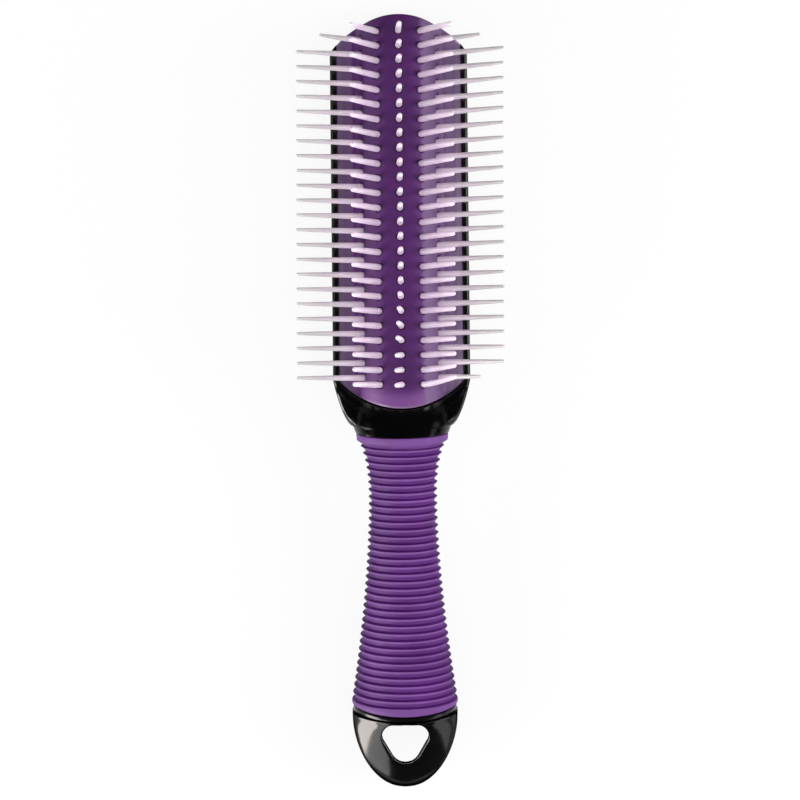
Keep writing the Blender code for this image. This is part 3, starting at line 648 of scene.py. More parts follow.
def pad_rubber(name, colours):
    """Satin rubber with soft clouds and a fine skin.

    The shade is 1 down the holes round the pins, where it paints shade with a darkened purple, and
    0 on the crown. Below 0 it paints light: -1 at the lighter neck end, -2 on the lighter left
    flange and a painted sheen on the crown's right side, -3 on the lighter right flange and a
    painted highlight along the left edge and the neck end's edge, and -4 on a painted highlight
    along the right edge.
    """
    # Painted light and shade: lighter tints for the edges, flanges and neck end, and a darkened purple down
    # the pin holes
    tints = (colours.rim, colours.flange, colours.dull_gloss_and_painted_light, colours.neck, colours.pad, scaled(colours.pad, 0.3))
    stops = [(step / 5, tint) for step, tint in enumerate(tints)]
    look = ((70, 0.86, 1.16), (260, 4, 0.42, 0.55), (2600, 3, 0.10, 0.00004))
    return satin(name, stops, *look, {"Specular IOR Level": 0.4}, -4)


def grip_rubber(name, colours):
    """Soft matte rubber with painted shade on the short flanks, where the shade is 0, and a painted highlight
    behind the crests.
    """
    stops = [(0.0, colours.groove), (0.15, colours.groove), (0.5, colours.valley), (1.0, colours.grip)]
    look = ((120, 0.88, 1.12), (340, 4, 0.52, 0.66), (3000, 3, 0.12, 0.00004))
    return satin(name, stops, *look, {"Specular IOR Level": 0.14})


def pin_nylon(name, colours):
    """Satin nylon that lets a little light in: pinkish white, with painted shade, greyer and darker, where
    the shade is 1.
    """
    light = {
        "Subsurface Weight": 0.25,
        "Subsurface Radius": (1.0, 0.7, 0.9),
        "Subsurface Scale": 0.0008,
    }
    look = ((150, 0.94, 1.06), (500, 3, 0.32, 0.45), (1800, 2, 0.05, 0.00003))
    return satin(name, [(0.0, colours.pin), (1.0, colours.pin_tip)], *look, light)


# ---------------------------------------------------------------- frame


def neck_line(x, brush, spare=0.0):
    """Where the pad's neck end lies at this x: a circle about a point on the middle line."""
    radius = brush.head.half_width + brush.pad.neck_spread
    return radius - np.sqrt((radius + spare) ** 2 - x**2)


def tip_line(x, brush):
    """Where the tip lies at this x: a circle about a point on the middle line."""
    radius = brush.head.half_width + brush.pad.tip_spread
    return brush.pad.length - radius + np.sqrt(radius**2 - x**2)


def head_half_width(y, brush):
    """Full at the pad, then part slant and part quarter oval to the collar, then straight to the neck."""
    head = brush.head
    run = np.clip((head.shoulder_start - y) / (head.shoulder_start + head.collar_setback), 0, 1)
    drawn_in = head.shoulder_slant * run + (1 - head.shoulder_slant) * (1 - np.sqrt(1 - run**2))
    shoulder = head.half_width - (head.half_width - head.collar_radius) * drawn_in
    run = np.clip((-head.collar_setback - y) / (head.neck_setback - head.collar_setback), 0, 1)
    return shoulder + (brush.grip.lip_radius - head.collar_radius) * run


def frame_top(x, behind, brush):
    """The higher of the crown's circle and the rail's top, with the corner between them rounded off.

    The rounding is the pad's fillet at the pad and grows with the distance behind it.
    """
    pad, head = brush.pad, brush.head
    soft = pad.fillet + (pad.crown_rise - pad.fillet) * smooth(behind / (head.neck_setback * OPENING))
    crown = np.sqrt(np.clip(pad.crown_radius**2 - x**2, 0, None)) + crown_centre(brush)
    near = np.clip(1 - np.abs(crown - head.rail_top) / soft, 0, 1)
    return np.maximum(crown, head.rail_top) + near**2 * soft / 4


def frame_back(x, brush):
    """Flat in the middle, then a superellipse up to the side wall."""
    head = brush.head
    out = np.clip((np.abs(x) - head.land) / (head.half_width - head.land), 0, 1)
    rise = 1 - (1 - out**head.back_power) ** (1 / head.back_power)
    return -head.depth + (head.depth - head.side_depth) * rise


def frame_skin(turn, y, brush, behind=0.0):
    """The frame's outside at turns about its middle and distances along it.

    The width is the cosine of the turn. The height goes over from the head's top and back to the
    grip's oval, the sine of the turn, and the section leans by the grip's tilt as it does.
    """
    head, grip = brush.head, brush.grip
    unit = np.clip(np.cos(turn) / math.cos(EDGE_ANGLE), -1, 1)
    depth = grip.lip_radius * grip.depth_share * math.cos(grip.tilt)
    top_share = smooth((head.blend_start - y) / (head.blend_start + head.neck_setback))
    back_share = smooth((head.belly_start - y) / (head.belly_start + head.neck_setback))
    up = np.clip((np.sin(turn) / math.sin(EDGE_ANGLE) + 1) / 2, 0, 1)
    level = up * top_share + (1 - up) * back_share
    x = head_half_width(y, brush) * ((1 - level) * unit + level * np.cos(turn))
    inside = (1 - np.abs(unit)) * head.half_width
    bevel = math.tan(head.rail_slope) * np.clip(head.rail_bevel - inside, 0, None)
    top = frame_top(x, behind, brush) - (quarter(inside, head.rail_round) + bevel)
    oval = depth * np.sin(turn) - head.neck_drop
    z = up * ((1 - top_share) * top + top_share * oval)
    z += (1 - up) * ((1 - back_share) * frame_back(x, brush) + back_share * oval)
    return stack(x, y - level * math.tan(grip.tilt) * (z + head.neck_drop), z)


def wall_place(unit, brush):
    """Where a column of the frame meets the pad's neck end: x = unit width there, y = the neck line."""
    y = np.zeros_like(unit)
    for _ in range(WALL_ROUNDS):
        x = np.clip(unit, -NEARLY, NEARLY) * head_half_width(y, brush)
        y = neck_line(x, brush, CLEARANCE)
    return y


def tray_profile(brush):
    """The inside of the tray from rail to rail: rail, groove, ledge and cavity, as x and z.

    The third row says which points are the cavity's.
    """
    head = brush.head
    inner, groove = head.half_width - head.rail_width, head.half_width - head.side_wall
    cavity, ledge = groove - head.ledge, -brush.pad.flange - CLEARANCE
    turns, across = quarter_turn(5), np.linspace(cavity, 0, 20)
    round_x = inner + head.edge_round * (1 - np.sin(turns))
    round_z = head.rail_top - head.edge_round * (1 - np.cos(turns))
    x = join(round_x, [inner, groove, groove], np.linspace(groove, cavity, 5)[1:], across)
    bottom = np.full_like(across, head.floor - head.depth)
    z = join(round_z, [CLEARANCE, CLEARANCE], np.full(5, ledge), bottom)
    is_cavity = np.arange(len(x)) >= len(x) - len(across)
    mirror = slice(-2, None, -1)
    return join(x, -x[mirror]), join(z, z[mirror]), join(is_cavity, is_cavity[mirror])


def outer_turns(first, steps):
    """Turns round the frame's outside, under the back, from one rail's inner edge to the other's."""
    rail = join(np.linspace(first, 2 * EDGE_ANGLE, 8), eased(2 * EDGE_ANGLE, EDGE_ANGLE, 8)[1:])
    half = join(rail, np.linspace(EDGE_ANGLE, -EDGE_ANGLE, 6)[1:])
    return join(half, eased(-EDGE_ANGLE, EDGE_ANGLE - math.pi, steps)[1:], (-math.pi - half[::-1])[1:])


def frame_surfaces(brush):
    """The head's tray, its shoulder and neck, and the tang, as rings that share their outer columns.

    The shade is 1 on top of the shoulder and the neck, away from their sides, and 0 elsewhere.
    """
    head, cap = brush.head, brush.cap
    seam = 1 - (head.rail_width - head.edge_round) / head.half_width
    first = math.acos(seam * math.cos(EDGE_ANGLE))
    turns = outer_turns(first, FRAME_STEPS)
    outer = len(turns)
    turns = join(turns, np.linspace(math.pi - first, first, FRAME_STEPS)[1:-1])
    unit = np.clip(np.cos(turns) / math.cos(EDGE_ANGLE), -1, 1)
    tray_x, tray_z, is_cavity = tray_profile(brush)
    tray_unit = tray_x / head.half_width
    wall = wall_place(unit, brush)

    # The tray, from the tip to the neck line, with its rings closer together towards the shoulder
    closed = [0, TIP_WALL, TIP_WALL + STEP]
    runs = join(closed, np.linspace(0.05, 0.72, 8), np.linspace(0.76, 1, 16))[:, None]
    outer_y = tip_line(unit[:outer] * head.half_width, brush) * (1 - runs) + wall[:outer] * runs
    tray_y = tip_line(tray_x, brush) * (1 - runs) + wall_place(tray_unit, brush) * runs
    level = np.where((runs > TIP_WALL) | ~is_cavity, tray_z, -brush.pad.flange - CLEARANCE)
    tray = stack(tray_unit * head_half_width(tray_y, brush), tray_y, level)[:, ::-1]
    ring = np.concatenate([frame_skin(turns[:outer], outer_y, brush), tray[:, 1:-1]], axis=1)

    # The wall at the pad's neck end, and the shoulder and neck behind it
    runs = join(crowded(0, 0.03, 5), np.linspace(0.05, 1, NECK_RINGS))[:, None]
    y = wall * (1 - runs) + (CLEARANCE - head.neck_setback) * runs
    behind = wall - y
    skin = frame_skin(turns, y, brush, behind)
    is_top = smooth((seam - np.abs(unit)) / TOP_FADE) * (np.arange(len(turns)) >= outer)
    skin[..., 2] -= quarter(behind, head.edge_round) * is_top
    inside = (head_half_width(skin[..., 1], brush) - np.abs(skin[..., 0])) / head.rail_width
    dull_gloss_and_painted_light = smooth(behind / head.rail_width) * smooth((inside - DULL_FROM) / DULL_RUN) * (skin[..., 2] > 0)

    # The tang, which runs on inside the sleeve and ends in the spigot's socket
    sleeve, socket = sleeve_length(brush), cap.spigot_radius + CLEARANCE
    along = np.linspace(-CLEARANCE, sleeve, 10)
    radii = join(crest_radius(along, brush) - brush.grip.wall - CLEARANCE, [socket, socket])
    along = join(along, [sleeve, cap_start(brush) - cap.spigot_length])
    tang = grip_to_brush(oval_rings(radii, along, turns, brush), brush)
    surfaces = [sheet(ring), flat_fill(ring[0]), flat_fill(join(tray[-1], skin[0, outer:][::-1]))]
    return surfaces + [sheet(skin, dull_gloss_and_painted_light), tube(join(skin[-1:], tang), is_open=True)] + bed_surfaces(brush)


def bed_surfaces(brush):
    """Half-round cross ribs on the tray's floor, and the spine that joins them."""
    head, centre = brush.head, crown_centre(brush)
    floor, radius = head.floor - head.depth - OVERLAP, bar_back(brush) - CLEARANCE
    turns = np.linspace(0, math.pi, 25)
    x = join([radius], radius * np.cos(turns), [-radius])
    z = join([floor], centre + radius * np.sin(turns), [floor])
    ends = np.array([head.rib_margin, brush.pad.length - head.rib_margin])
    thick = head.rib_thickness * np.array([-0.5, 0.5])
    slabs = [(x, middle + thick, z) for middle in np.linspace(*ends, head.rib_count)]
    top = centre + radius - OVERLAP
    slabs.append((head.spine_width * np.array([-0.5, 0.5, 0.5, -0.5]), ends, [floor, floor, top, top]))
    return [tube(stack(x, y[:, None], z)) for x, y, z in slabs]


class STYLINGBRUSH_OT_frame(bpy.types.Operator):
    """Builds the black moulding: head tray, shoulder, neck and tang"""

    bl_idname = "styling_brush.frame"
    bl_label = "Frame"

    def execute(self, context):
        brush = context.scene.styling_brush
        finish = black_plastic("frame_black_plastic", brush.finish.black, 0.16, 0.08)
        surfaces = frame_surfaces(brush)
        add_piece(context, "frame_moulding", surfaces, finish, HANDLE, ["handle_frame"])
        return {"FINISHED"}


# ---------------------------------------------------------------- pad


def pin_rows(brush):
    """Each row's name, lean, places along the brush and pin lengths.

    Outer rows stand half a pitch on. Their last pins are short, and so is the right one's first.
    """
    pins = brush.pins
    pitches = int((brush.pad.length - pins.neck_setback - pins.tip_margin) / pins.pitch)
    inner = pins.neck_setback + pins.pitch * np.arange(pitches + 1)
    outer = pins.neck_setback + pins.pitch * (np.arange(pitches) + 0.5)
    full, ending = np.full(len(inner), pins.length), np.full(len(outer), pins.length)
    ending[-1] = pins.short_length
    both = ending.copy()
    both[0] = pins.short_length
    return [
        ("pin_row_centre", 0.0, inner, full),
        ("pin_row_left_inner", -pins.inner_angle, inner, full),
        ("pin_row_right_inner", pins.inner_angle, inner, full),
        ("pin_row_left_outer", -pins.outer_angle, outer, ending),
        ("pin_row_right_outer", pins.outer_angle, outer, both),
    ]


def crown_leans(brush):
    """Angles across the crown, closer together where a row of pins stands."""
    pad, pins = brush.pad, brush.pins
    height = pad.fillet - crown_centre(brush)
    foot = math.atan2(math.sqrt((pad.crown_radius + pad.fillet) ** 2 - height**2), height)
    reach = HOLE_REACH * pad.hole_radius / pad.crown_radius
    rows = np.array([-pins.outer_angle, -pins.inner_angle, 0, pins.inner_angle, pins.outer_angle])
    marks = join([-foot], np.stack([rows - reach, rows + reach], axis=-1).ravel(), [foot])
    counts = [FOOT_STEPS] + [ROW_STEPS, GAP_STEPS] * 4 + [ROW_STEPS, FOOT_STEPS]
    runs = [np.linspace(a, b, n, endpoint=False) for a, b, n in zip(marks, marks[1:], counts)]
    return join(*runs, [foot])


def pad_top(brush):
    """Flange, fillet and crown from -X to +X: x, z, the outward normal, and the lean on the crown.

    The crown is a circle about its lean, the fillet a smaller circle that meets it, the flange flat.
    """
    pad, leans, edge = brush.pad, crown_leans(brush), FLANGE_ROUND
    crown = np.stack([np.sin(leans), np.cos(leans)])
    fillet_x = (pad.crown_radius + pad.fillet) * crown[0, -1]
    turns = np.linspace(0, leans[-1], 9)[:-1]
    corner = quarter_turn(5)
    inner = flange_edge(brush) - edge
    flat = np.linspace(inner, fillet_x, 8)[1:-1]
    side_x = join(inner + edge * np.cos(corner), flat, fillet_x - pad.fillet * np.sin(turns))
    side_z = join(-edge + edge * np.sin(corner), np.zeros_like(flat), pad.fillet * (1 - np.cos(turns)))
    x = join(-side_x, crown[0] * pad.crown_radius, side_x[::-1])
    z = join(side_z, crown_centre(brush) + crown[1] * pad.crown_radius, side_z[::-1])
    side = np.zeros_like(side_x)
    lean = join(side - NO_ROW, leans, side + NO_ROW)
    return x, z, join(side, crown[0], side), join(side + 1, crown[1], side + 1), lean


def pad_bottom(brush):
    """The underside from +X to -X, as x and z: flat flange, then the tunnel's circle over the bed."""
    pad, centre, outside = brush.pad, crown_centre(brush), flange_edge(brush)
    radius = pad.crown_radius - pad.crown_wall
    foot = math.asin((-pad.flange - centre) / radius)
    turns = np.linspace(foot, math.pi - foot, 29)
    x = join([outside], radius * np.cos(turns), [-outside])
    return x, join([-pad.flange], centre + radius * np.sin(turns), [-pad.flange])


def hole_depths(lean, y, brush):
    """How deep the crown is sunk at each point: a round well about each pin, with a rounded rim."""
    pad = brush.pad
    depth = np.zeros_like(y)
    for _, row_lean, places, _ in pin_rows(brush):
        across = (lean - row_lean) * pad.crown_radius
        nearest = np.rint((y - places[0]) / brush.pins.pitch).astype(int)
        distance = np.hypot(across, y - places[np.clip(nearest, 0, len(places) - 1)])
        rim = (pad.hole_radius * HOLE_RIM - distance) / (pad.hole_radius * HOLE_SLOPE)
        depth = np.maximum(depth, smooth(rim))
    return depth * pad.hole_depth


def pad_shade(x, y, start, edge, brush):
    """The crown's 0, less 1 at the neck end, 2 or 3 on the flanks and flanges, and 3 or 4 at their edges."""
    # These levels paint light: lighter tints for the neck end, the flanks, the flanges and their edges
    pad, head = brush.pad, brush.head
    reach, right = np.abs(x), x > 0
    seam = head.half_width - head.rail_width - 2 * CLEARANCE
    side = -2 * smooth((reach - np.where(right, pad.painted_sheen_from, pad.crown_radius)) / pad.fillet)
    side = side - right * smooth((reach - pad.crown_radius) / pad.fillet)
    side = side - smooth((reach - seam) / (2 * pad.end_round) + 1)
    neck = -smooth(FADE - FADE * (y - start) / (brush.pins.neck_setback - pad.hole_radius))
    rim = -3 * smooth((pad.end_round - edge) / (pad.end_round / 2)) * (neck < 0)
    return np.minimum(np.minimum(side, neck), rim)


def pad_surfaces(brush):
    """The pad as rings from its neck end to its tip, and the two ends filled."""
    pad = brush.pad
    top_x, top_z, normal_x, normal_z, lean = pad_top(brush)
    low_x, low_z = pad_bottom(brush)
    last, ends = 1 - pad.end_wall / pad.length, crowded(0, PAD_END, 6)
    middle = np.linspace(PAD_END, last, PAD_RINGS)
    runs = join(ends[:-1], middle, [last + 5 * STEP], 1 - ends[::-1])[:, None]
    x = join(top_x, low_x)
    start, finish = neck_line(x, brush), tip_line(x, brush)
    y, top = start * (1 - runs) + finish * runs, len(top_x)
    y, low_y = y[:, :top], y[:, top:]
    sunk = hole_depths(lean, y, brush)
    edge = np.minimum(y - start[:top], finish[:top] - y)
    fall = sunk + quarter(edge, pad.end_round)
    under = -pad.flange + (low_z + pad.flange) * (runs < last + STEP)
    skin = stack(top_x - normal_x * fall, y, top_z - normal_z * fall)
    rings = np.concatenate([skin, stack(low_x, low_y, under)], axis=1)
    light = pad_shade(top_x, y, start[:top], edge, brush)
    # Painted shade down the holes round the pins
    light = np.where(sunk > 0, sunk / pad.hole_depth, light)
    shade = np.concatenate([light, np.zeros_like(under)], axis=1)
    return [sheet(rings, shade), flat_fill(rings[0]), flat_fill(rings[-1])]


class STYLINGBRUSH_OT_pad(bpy.types.Operator):
    """Builds the purple rubber pad, with a hole for each pin"""

    bl_idname = "styling_brush.pad"
    bl_label = "Pad"

    def execute(self, context):
        brush = context.scene.styling_brush
        finish = pad_rubber("pad_purple_rubber", brush.finish)
        surfaces = pad_surfaces(brush)
        add_piece(context, "rubber_pad", surfaces, finish, PAD_ASSEMBLY, ["pad"])
        return {"FINISHED"}


# ---------------------------------------------------------------- pins


def pin_rings(length, tip_radius, tilt, brush):
    """Rings of one pin along Z from the crown's middle: a power taper that ends in a round tip.

    The pin tilts by a shear about the crown: X goes with the height over it.
    """
    pad, pins = brush.pad, brush.pins
    start, reach = (bar_face(brush) + bar_back(brush)) / 2, pad.crown_radius + length
    turns = quarter_turn(5)
    shaft = pad.crown_radius + length * np.array(SHAFT_PLACES)
    heights = join([start], shaft, reach - tip_radius * (1 - np.sin(turns)))
    taper = np.clip((heights - start) / (reach - start), 0, 1)
    radii = pins.root_radius + (tip_radius - pins.root_radius) * taper**PIN_POWER
    radii[-5:] = radii[-5] * np.cos(turns)
    radii, heights, around = radii[:, None], heights[:, None], circle(PIN_STEPS)
    shear = math.tan(tilt) * (heights - pad.crown_radius)
    return stack(radii * np.cos(around) - shear, radii * np.sin(around), heights)


def bar_rings(places, brush):
    """A bar under the crown, as rings along Y: a rounded rectangle whose ends are drawn in."""
    pins, edge = brush.pins, BAR_ROUND
    half, low, high = pins.bar_width / 2, bar_back(brush), bar_face(brush)
    corner = quarter_turn(4)
    x = join(half - edge + edge * np.cos(corner), -half + edge - edge * np.sin(corner))
    z = high - edge + edge * join(np.sin(corner), np.cos(corner))
    x, z = join(x, x[::-1]), join(z, low + high - z[::-1])
    start, end = places[0] - pins.bar_overhang, places[-1] + pins.bar_overhang
    y = np.array([start, start + edge, end - edge, end])[:, None]
    drawn, middle = np.array([edge, 0, 0, edge])[:, None], (low + high) / 2
    return stack(x * (1 - drawn / half), y, middle + (z - middle) * (1 - drawn / (high - middle)))


def lean_row(points, lean, brush):
    """Turns points about the crown's middle line by the row's lean, towards +X."""
    x, y, z = np.moveaxis(points, -1, 0)
    slope, rise = math.cos(lean), math.sin(lean)
    return stack(x * slope + z * rise, y, -x * rise + z * slope + crown_centre(brush))


def tip_offsets(node, places, brush):
    """How far each pin's tip lies from where it was moulded, in X and Y: pins that hair has bent.

    The inner rows lean to the right. In the other rows this grows towards the tip of the head. In
    the centre row the pins near the tip are combed back, and those near the neck stray to the left.
    The right inner row's first two, the right outer row and the left one's last pin are bent towards
    the tip.
    """
    pins = brush.pins
    share = (places - places[0]) / (places[-1] - places[0])
    side, along = pins.sway * (share - UPRIGHT_AT), np.zeros_like(places)
    if node.endswith("inner"):
        side[:] = pins.sway
    if node.endswith("centre"):
        left = np.clip(FIRST_STRAY - np.arange(len(places)) / pins.strays, 0, 1)
        side = pins.sway * share * CENTRE_SWAY - pins.stray * left
        along = pins.sweep * (CENTRE_SWEEP[0] - CENTRE_SWEEP[1] * share)
        along[: pins.strays // 2] = -pins.sway / 2
        along[-1] = 0
    if node.endswith("left_outer"):
        along[-1] = pins.sweep
    if node.endswith("right_outer"):
        along = pins.sway * share * RIGHT_SWEEP
    if node.endswith("right_inner"):
        along[:2] = pins.sweep * np.array(FIRST_SWEEPS)
    return np.stack([side, along], axis=-1)


def row_surfaces(node, lean, places, lengths, brush):
    """The bar and the pins of one row. A bent pin's offset grows as a power of the height over the crown.

    The shade, painted shade on the outer rows' pins, grows with that height there, and is 0 in the other
    rows.
    """
    pins, is_outer = brush.pins, node.endswith("outer")
    surfaces = [tube(lean_row(bar_rings(places, brush), lean, brush))]
    tip_radius = pins.outer_tip_radius if is_outer else pins.tip_radius
    tilt = np.sign(lean) * (pins.outer_tilt if is_outer else pins.inner_tilt)
    for place, length, offset in zip(places, lengths, tip_offsets(node, places, brush)):
        rings = pin_rings(length, tip_radius, tilt, brush)
        reach = np.clip((rings[..., 2:] - brush.pad.crown_radius) / length, 0, 1)
        rings = lean_row(rings + np.array([0, place, 0]), lean, brush)
        rings[..., :2] += reach**PIN_POWER * offset
        grey = ROOT_GREY + (1 - ROOT_GREY) * smooth(2 * reach[..., 0] - 0.5)
        surfaces.append(tube(rings, is_outer * grey))
    return surfaces


class STYLINGBRUSH_OT_pin_rows(bpy.types.Operator):
    """Builds the five strips of nylon pins"""

    bl_idname = "styling_brush.pin_rows"
    bl_label = "Pin Rows"

    def execute(self, context):
        brush = context.scene.styling_brush
        finish = pin_nylon("pin_white_nylon", brush.finish)
        for node, *row in pin_rows(brush):
            surfaces = row_surfaces(node, *row, brush)
            name = node.replace("pin_row", "pins")
            add_piece(context, name, surfaces, finish, PAD_ASSEMBLY, [node])
        return {"FINISHED"}


# ---------------------------------------------------------------- grip


def crest_radius(along, brush):
    """Half width at the crests: a power curve from the waist out to the lip, and one to the tail."""
    grip = brush.grip
    front = np.clip((grip.waist_at - np.maximum(along, 0)) / grip.waist_at, 0, 1)
    tail = np.clip((along - grip.waist_at) / (last_crest(brush) - grip.waist_at), 0, 1)
    radius = grip.waist_radius + (grip.lip_radius - grip.waist_radius) * front**grip.lip_power
    return radius + (grip.tail_radius - grip.waist_radius) * tail**grip.tail_power


def oval_rings(radii, along, turns, brush):
    """Rings about the grip's axis: x is the cosine of the turn, and y its sine pressed in."""
    radii = np.asarray(radii)[:, None]
    return stack(radii * np.cos(turns), radii * np.sin(turns) * brush.grip.depth_share, along[:, None])


def rib_profile(brush):
    """One rib from crest to crest: place over the pitch, height over the rib's, and its shade.

    A crest falls away as a power of the distance to a wide round valley, and the short flank to
    the next crest rises as a power too. The shade is 0 on that flank, which paints shade there, 1
    behind a crest, a painted highlight, and a half in the valley.
    """
    share, fall, rise = brush.grip.fall, np.linspace(0, 1, 13), np.linspace(0, 1, 6)[1:-1]
    valley = 1 - (1 - VALLEY_SHADE) * smooth((fall - VALLEY_FROM) / VALLEY_RUN)
    valley[[0, -1]] = CREST_SHADE, FOOT_SHADE
    height, shade = join((1 - fall) ** RIB_FALL, rise**RIB_RISE), join(valley, np.zeros_like(rise))
    return join(fall * share, share + (1 - share) * rise), height, shade


def sleeve_profile(brush):
    """Radius, place along the grip and shade: front lip, its foot, ribs and end lip, then the bore."""
    grip, whole, last = brush.grip, sleeve_length(brush), last_crest(brush)
    lip = join(LIP_EDGE, grip.lip_length * np.array(LIP_PLACES))
    lip_radius = crest_radius(lip, brush) + grip.lip_drop * np.array(LIP_HEIGHTS)
    rise = np.linspace(0, 1, 5)[:-1]
    foot = grip.first_rib - grip.pitch * (1 - grip.fall) * (1 - rise)
    place, height, rib_shade = rib_profile(brush)
    ribs = grip.first_rib + grip.pitch * (np.arange(grip.ribs - 1)[:, None] + place).ravel()
    drop = grip.rib_height * (1 - join(rise**FIRST_RISE, np.tile(height, grip.ribs - 1)))
    end = [last, last + END_EDGE, last + grip.end_lip / 2, whole - END_EDGE, whole - END_OUTER, whole]
    end_radius = grip.tail_radius - grip.lip_drop * np.array(END_FALLS)
    bore = np.linspace(whole, 0, 12)
    ribbed = crest_radius(join(foot, ribs), brush) - drop
    radius = join(lip_radius, ribbed, end_radius, crest_radius(bore, brush) - grip.wall)
    # Painted light along the sleeve: the lips and crests take the painted highlight, the short flanks the
    # painted shade
    plain = np.full(len(lip), LIP_SHADE)
    shade = join(plain, LIP_SHADE * (1 - rise), np.tile(rib_shade, grip.ribs - 1), plain, np.zeros_like(bore))
    return radius, join(lip, foot, ribs, end, bore), shade


class STYLINGBRUSH_OT_grip_sleeve(bpy.types.Operator):
    """Builds the ribbed purple sleeve"""

    bl_idname = "styling_brush.grip_sleeve"
    bl_label = "Grip Sleeve"

    def execute(self, context):
        brush = context.scene.styling_brush
        finish = grip_rubber("grip_purple_rubber", brush.finish)
        radius, along, shade = sleeve_profile(brush)
        rings = oval_rings(radius, along, circle(SLEEVE_STEPS), brush)
        surfaces = [sheet(rings, shade[:, None], wrap_rows=True)]
        add_piece(context, "ribbed_sleeve", surfaces, finish, HANDLE, ["grip_sleeve"], True)
        return {"FINISHED"}


class STYLINGBRUSH_OT_retaining_ring(bpy.types.Operator):
    """Builds the thin black band between the sleeve and the end cap"""

    bl_idname = "styling_brush.retaining_ring"
    bl_label = "Retaining Ring"

    def execute(self, context):
        brush = context.scene.styling_brush
        cap = brush.cap
        finish = black_plastic("ring_black_plastic", brush.finish.black, 0.2)
        corner = quarter_turn(6)
        outer = cap.ring_radius - cap.ring_round * (1 - np.sin(corner))
        run = cap.ring_round * (1 - np.cos(corner))
        inner = [cap.spigot_radius + CLEARANCE]
        along = join([0], run, cap.ring_length - run[::-1], [cap.ring_length])
        along += sleeve_length(brush) + CLEARANCE
        radii = join(inner, outer, outer[::-1], inner)
        rings = oval_rings(radii, along, circle(RING_STEPS), brush)
        surfaces = [sheet(rings, wrap_rows=True)]
        add_piece(context, "ring_band", surfaces, finish, HANDLE, ["retaining_ring"], True)
        return {"FINISHED"}


# ---------------------------------------------------------------- end cap


def cap_half_width(along, brush):
    """Half width at a distance from the front face: one less a power of the distance, to a root."""
    cap = brush.cap
    share = np.clip(along / cap.length, 0, 1)
    return cap.half_width * (1 - share**cap.outline_power) ** cap.outline_root


def cap_half_depth(x, along, brush):
    """Half depth over a point of the plan: a wedge along the grip, rounded at its end.

    The section is a parabola that a high power of x over the half width rounds off at its sides.
    At the front it is mixed with an oval.
    """
    cap = brush.cap
    share = np.clip(along / cap.length, 0, 1)
    rim = cap.half_width * brush.grip.depth_share
    wedge = cap.tail_depth + (rim - cap.tail_depth) * (1 - share) ** cap.wedge_power
    wedge = wedge * np.sqrt(1 - share**cap.edge_power)
    across = np.clip(np.abs(x) / np.maximum(cap_half_width(along, brush), 1e-9), 0, 1)
    oval = np.sqrt(1 - across**2)
    section = (1 - cap.section_fall * across**2) * np.sqrt(1 - across**cap.section_corner)
    mix = cap.section_start + (1 - cap.section_start) * smooth(along / cap.section_run)
    return wedge * (oval + (section - oval) * mix)


def mirror_loop(x, y):
    """A closed loop from its right half, whose first and last points lie on the middle line."""
    return join(x, -x[-2:0:-1]), join(y, y[-2:0:-1])


def hole_outline(brush):
    """The hanging hole's outline in plan, from the tail: x and y in brush axes.

    A large round foot, two small round corners and a flat side towards the grip, joined by tangents.
    """
    cap = brush.cap
    top = -brush.head.neck_setback - cap_start(brush) * math.cos(brush.grip.tilt) - cap.hole_setback
    corner = np.array([cap.hole_half_width - cap.hole_corner, top - cap.hole_corner])
    foot = np.array([0, top - cap.hole_height + cap.hole_foot])
    slope = math.atan2(corner[1] - foot[1], corner[0] - foot[0])
    lean = slope - math.acos((cap.hole_foot - cap.hole_corner) / np.hypot(*(corner - foot)))
    down = np.linspace(-math.pi / 2, lean, CAP_SIDE_STEPS // 2)[:, None]
    across = np.linspace(lean, math.pi / 2, CAP_SIDE_STEPS - CAP_SIDE_STEPS // 2)[:, None]
    side = join(
        foot + cap.hole_foot * np.concatenate([np.cos(down), np.sin(down)], axis=1),
        corner + cap.hole_corner * np.concatenate([np.cos(across), np.sin(across)], axis=1),
    )
    flat = np.linspace(corner[0], 0, CAP_TOP_STEPS + 1)[1:]
    return mirror_loop(join(side[:, 0], flat), join(side[:, 1], np.full_like(flat, top)))


def rim_along(x, y, side, brush):
    """Distance along the cap where a line along the brush's Z, at x and y, meets its front or back."""
    slope, rise = math.cos(brush.grip.tilt), math.sin(brush.grip.tilt)
    along = np.full_like(x, brush.cap.length / 2)
    for _ in range(RIM_ROUNDS):
        depth = side * cap_half_depth(x, along, brush)
        along = (-brush.head.neck_setback - y - depth * rise) / slope - cap_start(brush)
    return along


def cap_face(side, hole_x, hole_along, edge_x, edge_along, brush):
    """The cap's front or back as rings from the hole's rim out to the cap's outline, and its shade.

    The plan goes in straight lines from rim to outline, the height follows the cap's half depth,
    and the first rings are a quarter round into the hole. The shade is 1 along the outline.
    """
    cap = brush.cap
    run_x, run_along = edge_x - hole_x, edge_along - hole_along
    far = np.hypot(run_x, run_along)
    near = np.array(RIM_RINGS)[:, None] * cap.hole_round / far
    rest = near[-1] + (1 - near[-1]) * (1 - (1 - np.linspace(0, 1, CAP_RINGS)[1:, None]) ** 3)
    shares = join(near, rest)
    x, along = hole_x + run_x * shares, hole_along + run_along * shares
    depth = cap_half_depth(x, along, brush) - quarter(far * shares, cap.hole_round)
    depth = depth - quarter(along, cap.front_round) * (along < cap.front_round)
    depth[-1] = np.where(edge_along > 0, 0, depth[-1])
    edge = cap.dull_edge * (1 + cap.dull_tail * np.clip(along / cap.length, 0, 1) ** DULL_POWER)
    return stack(x, side * depth, along + cap_start(brush)), smooth(FADE - far * (1 - shares) / edge)


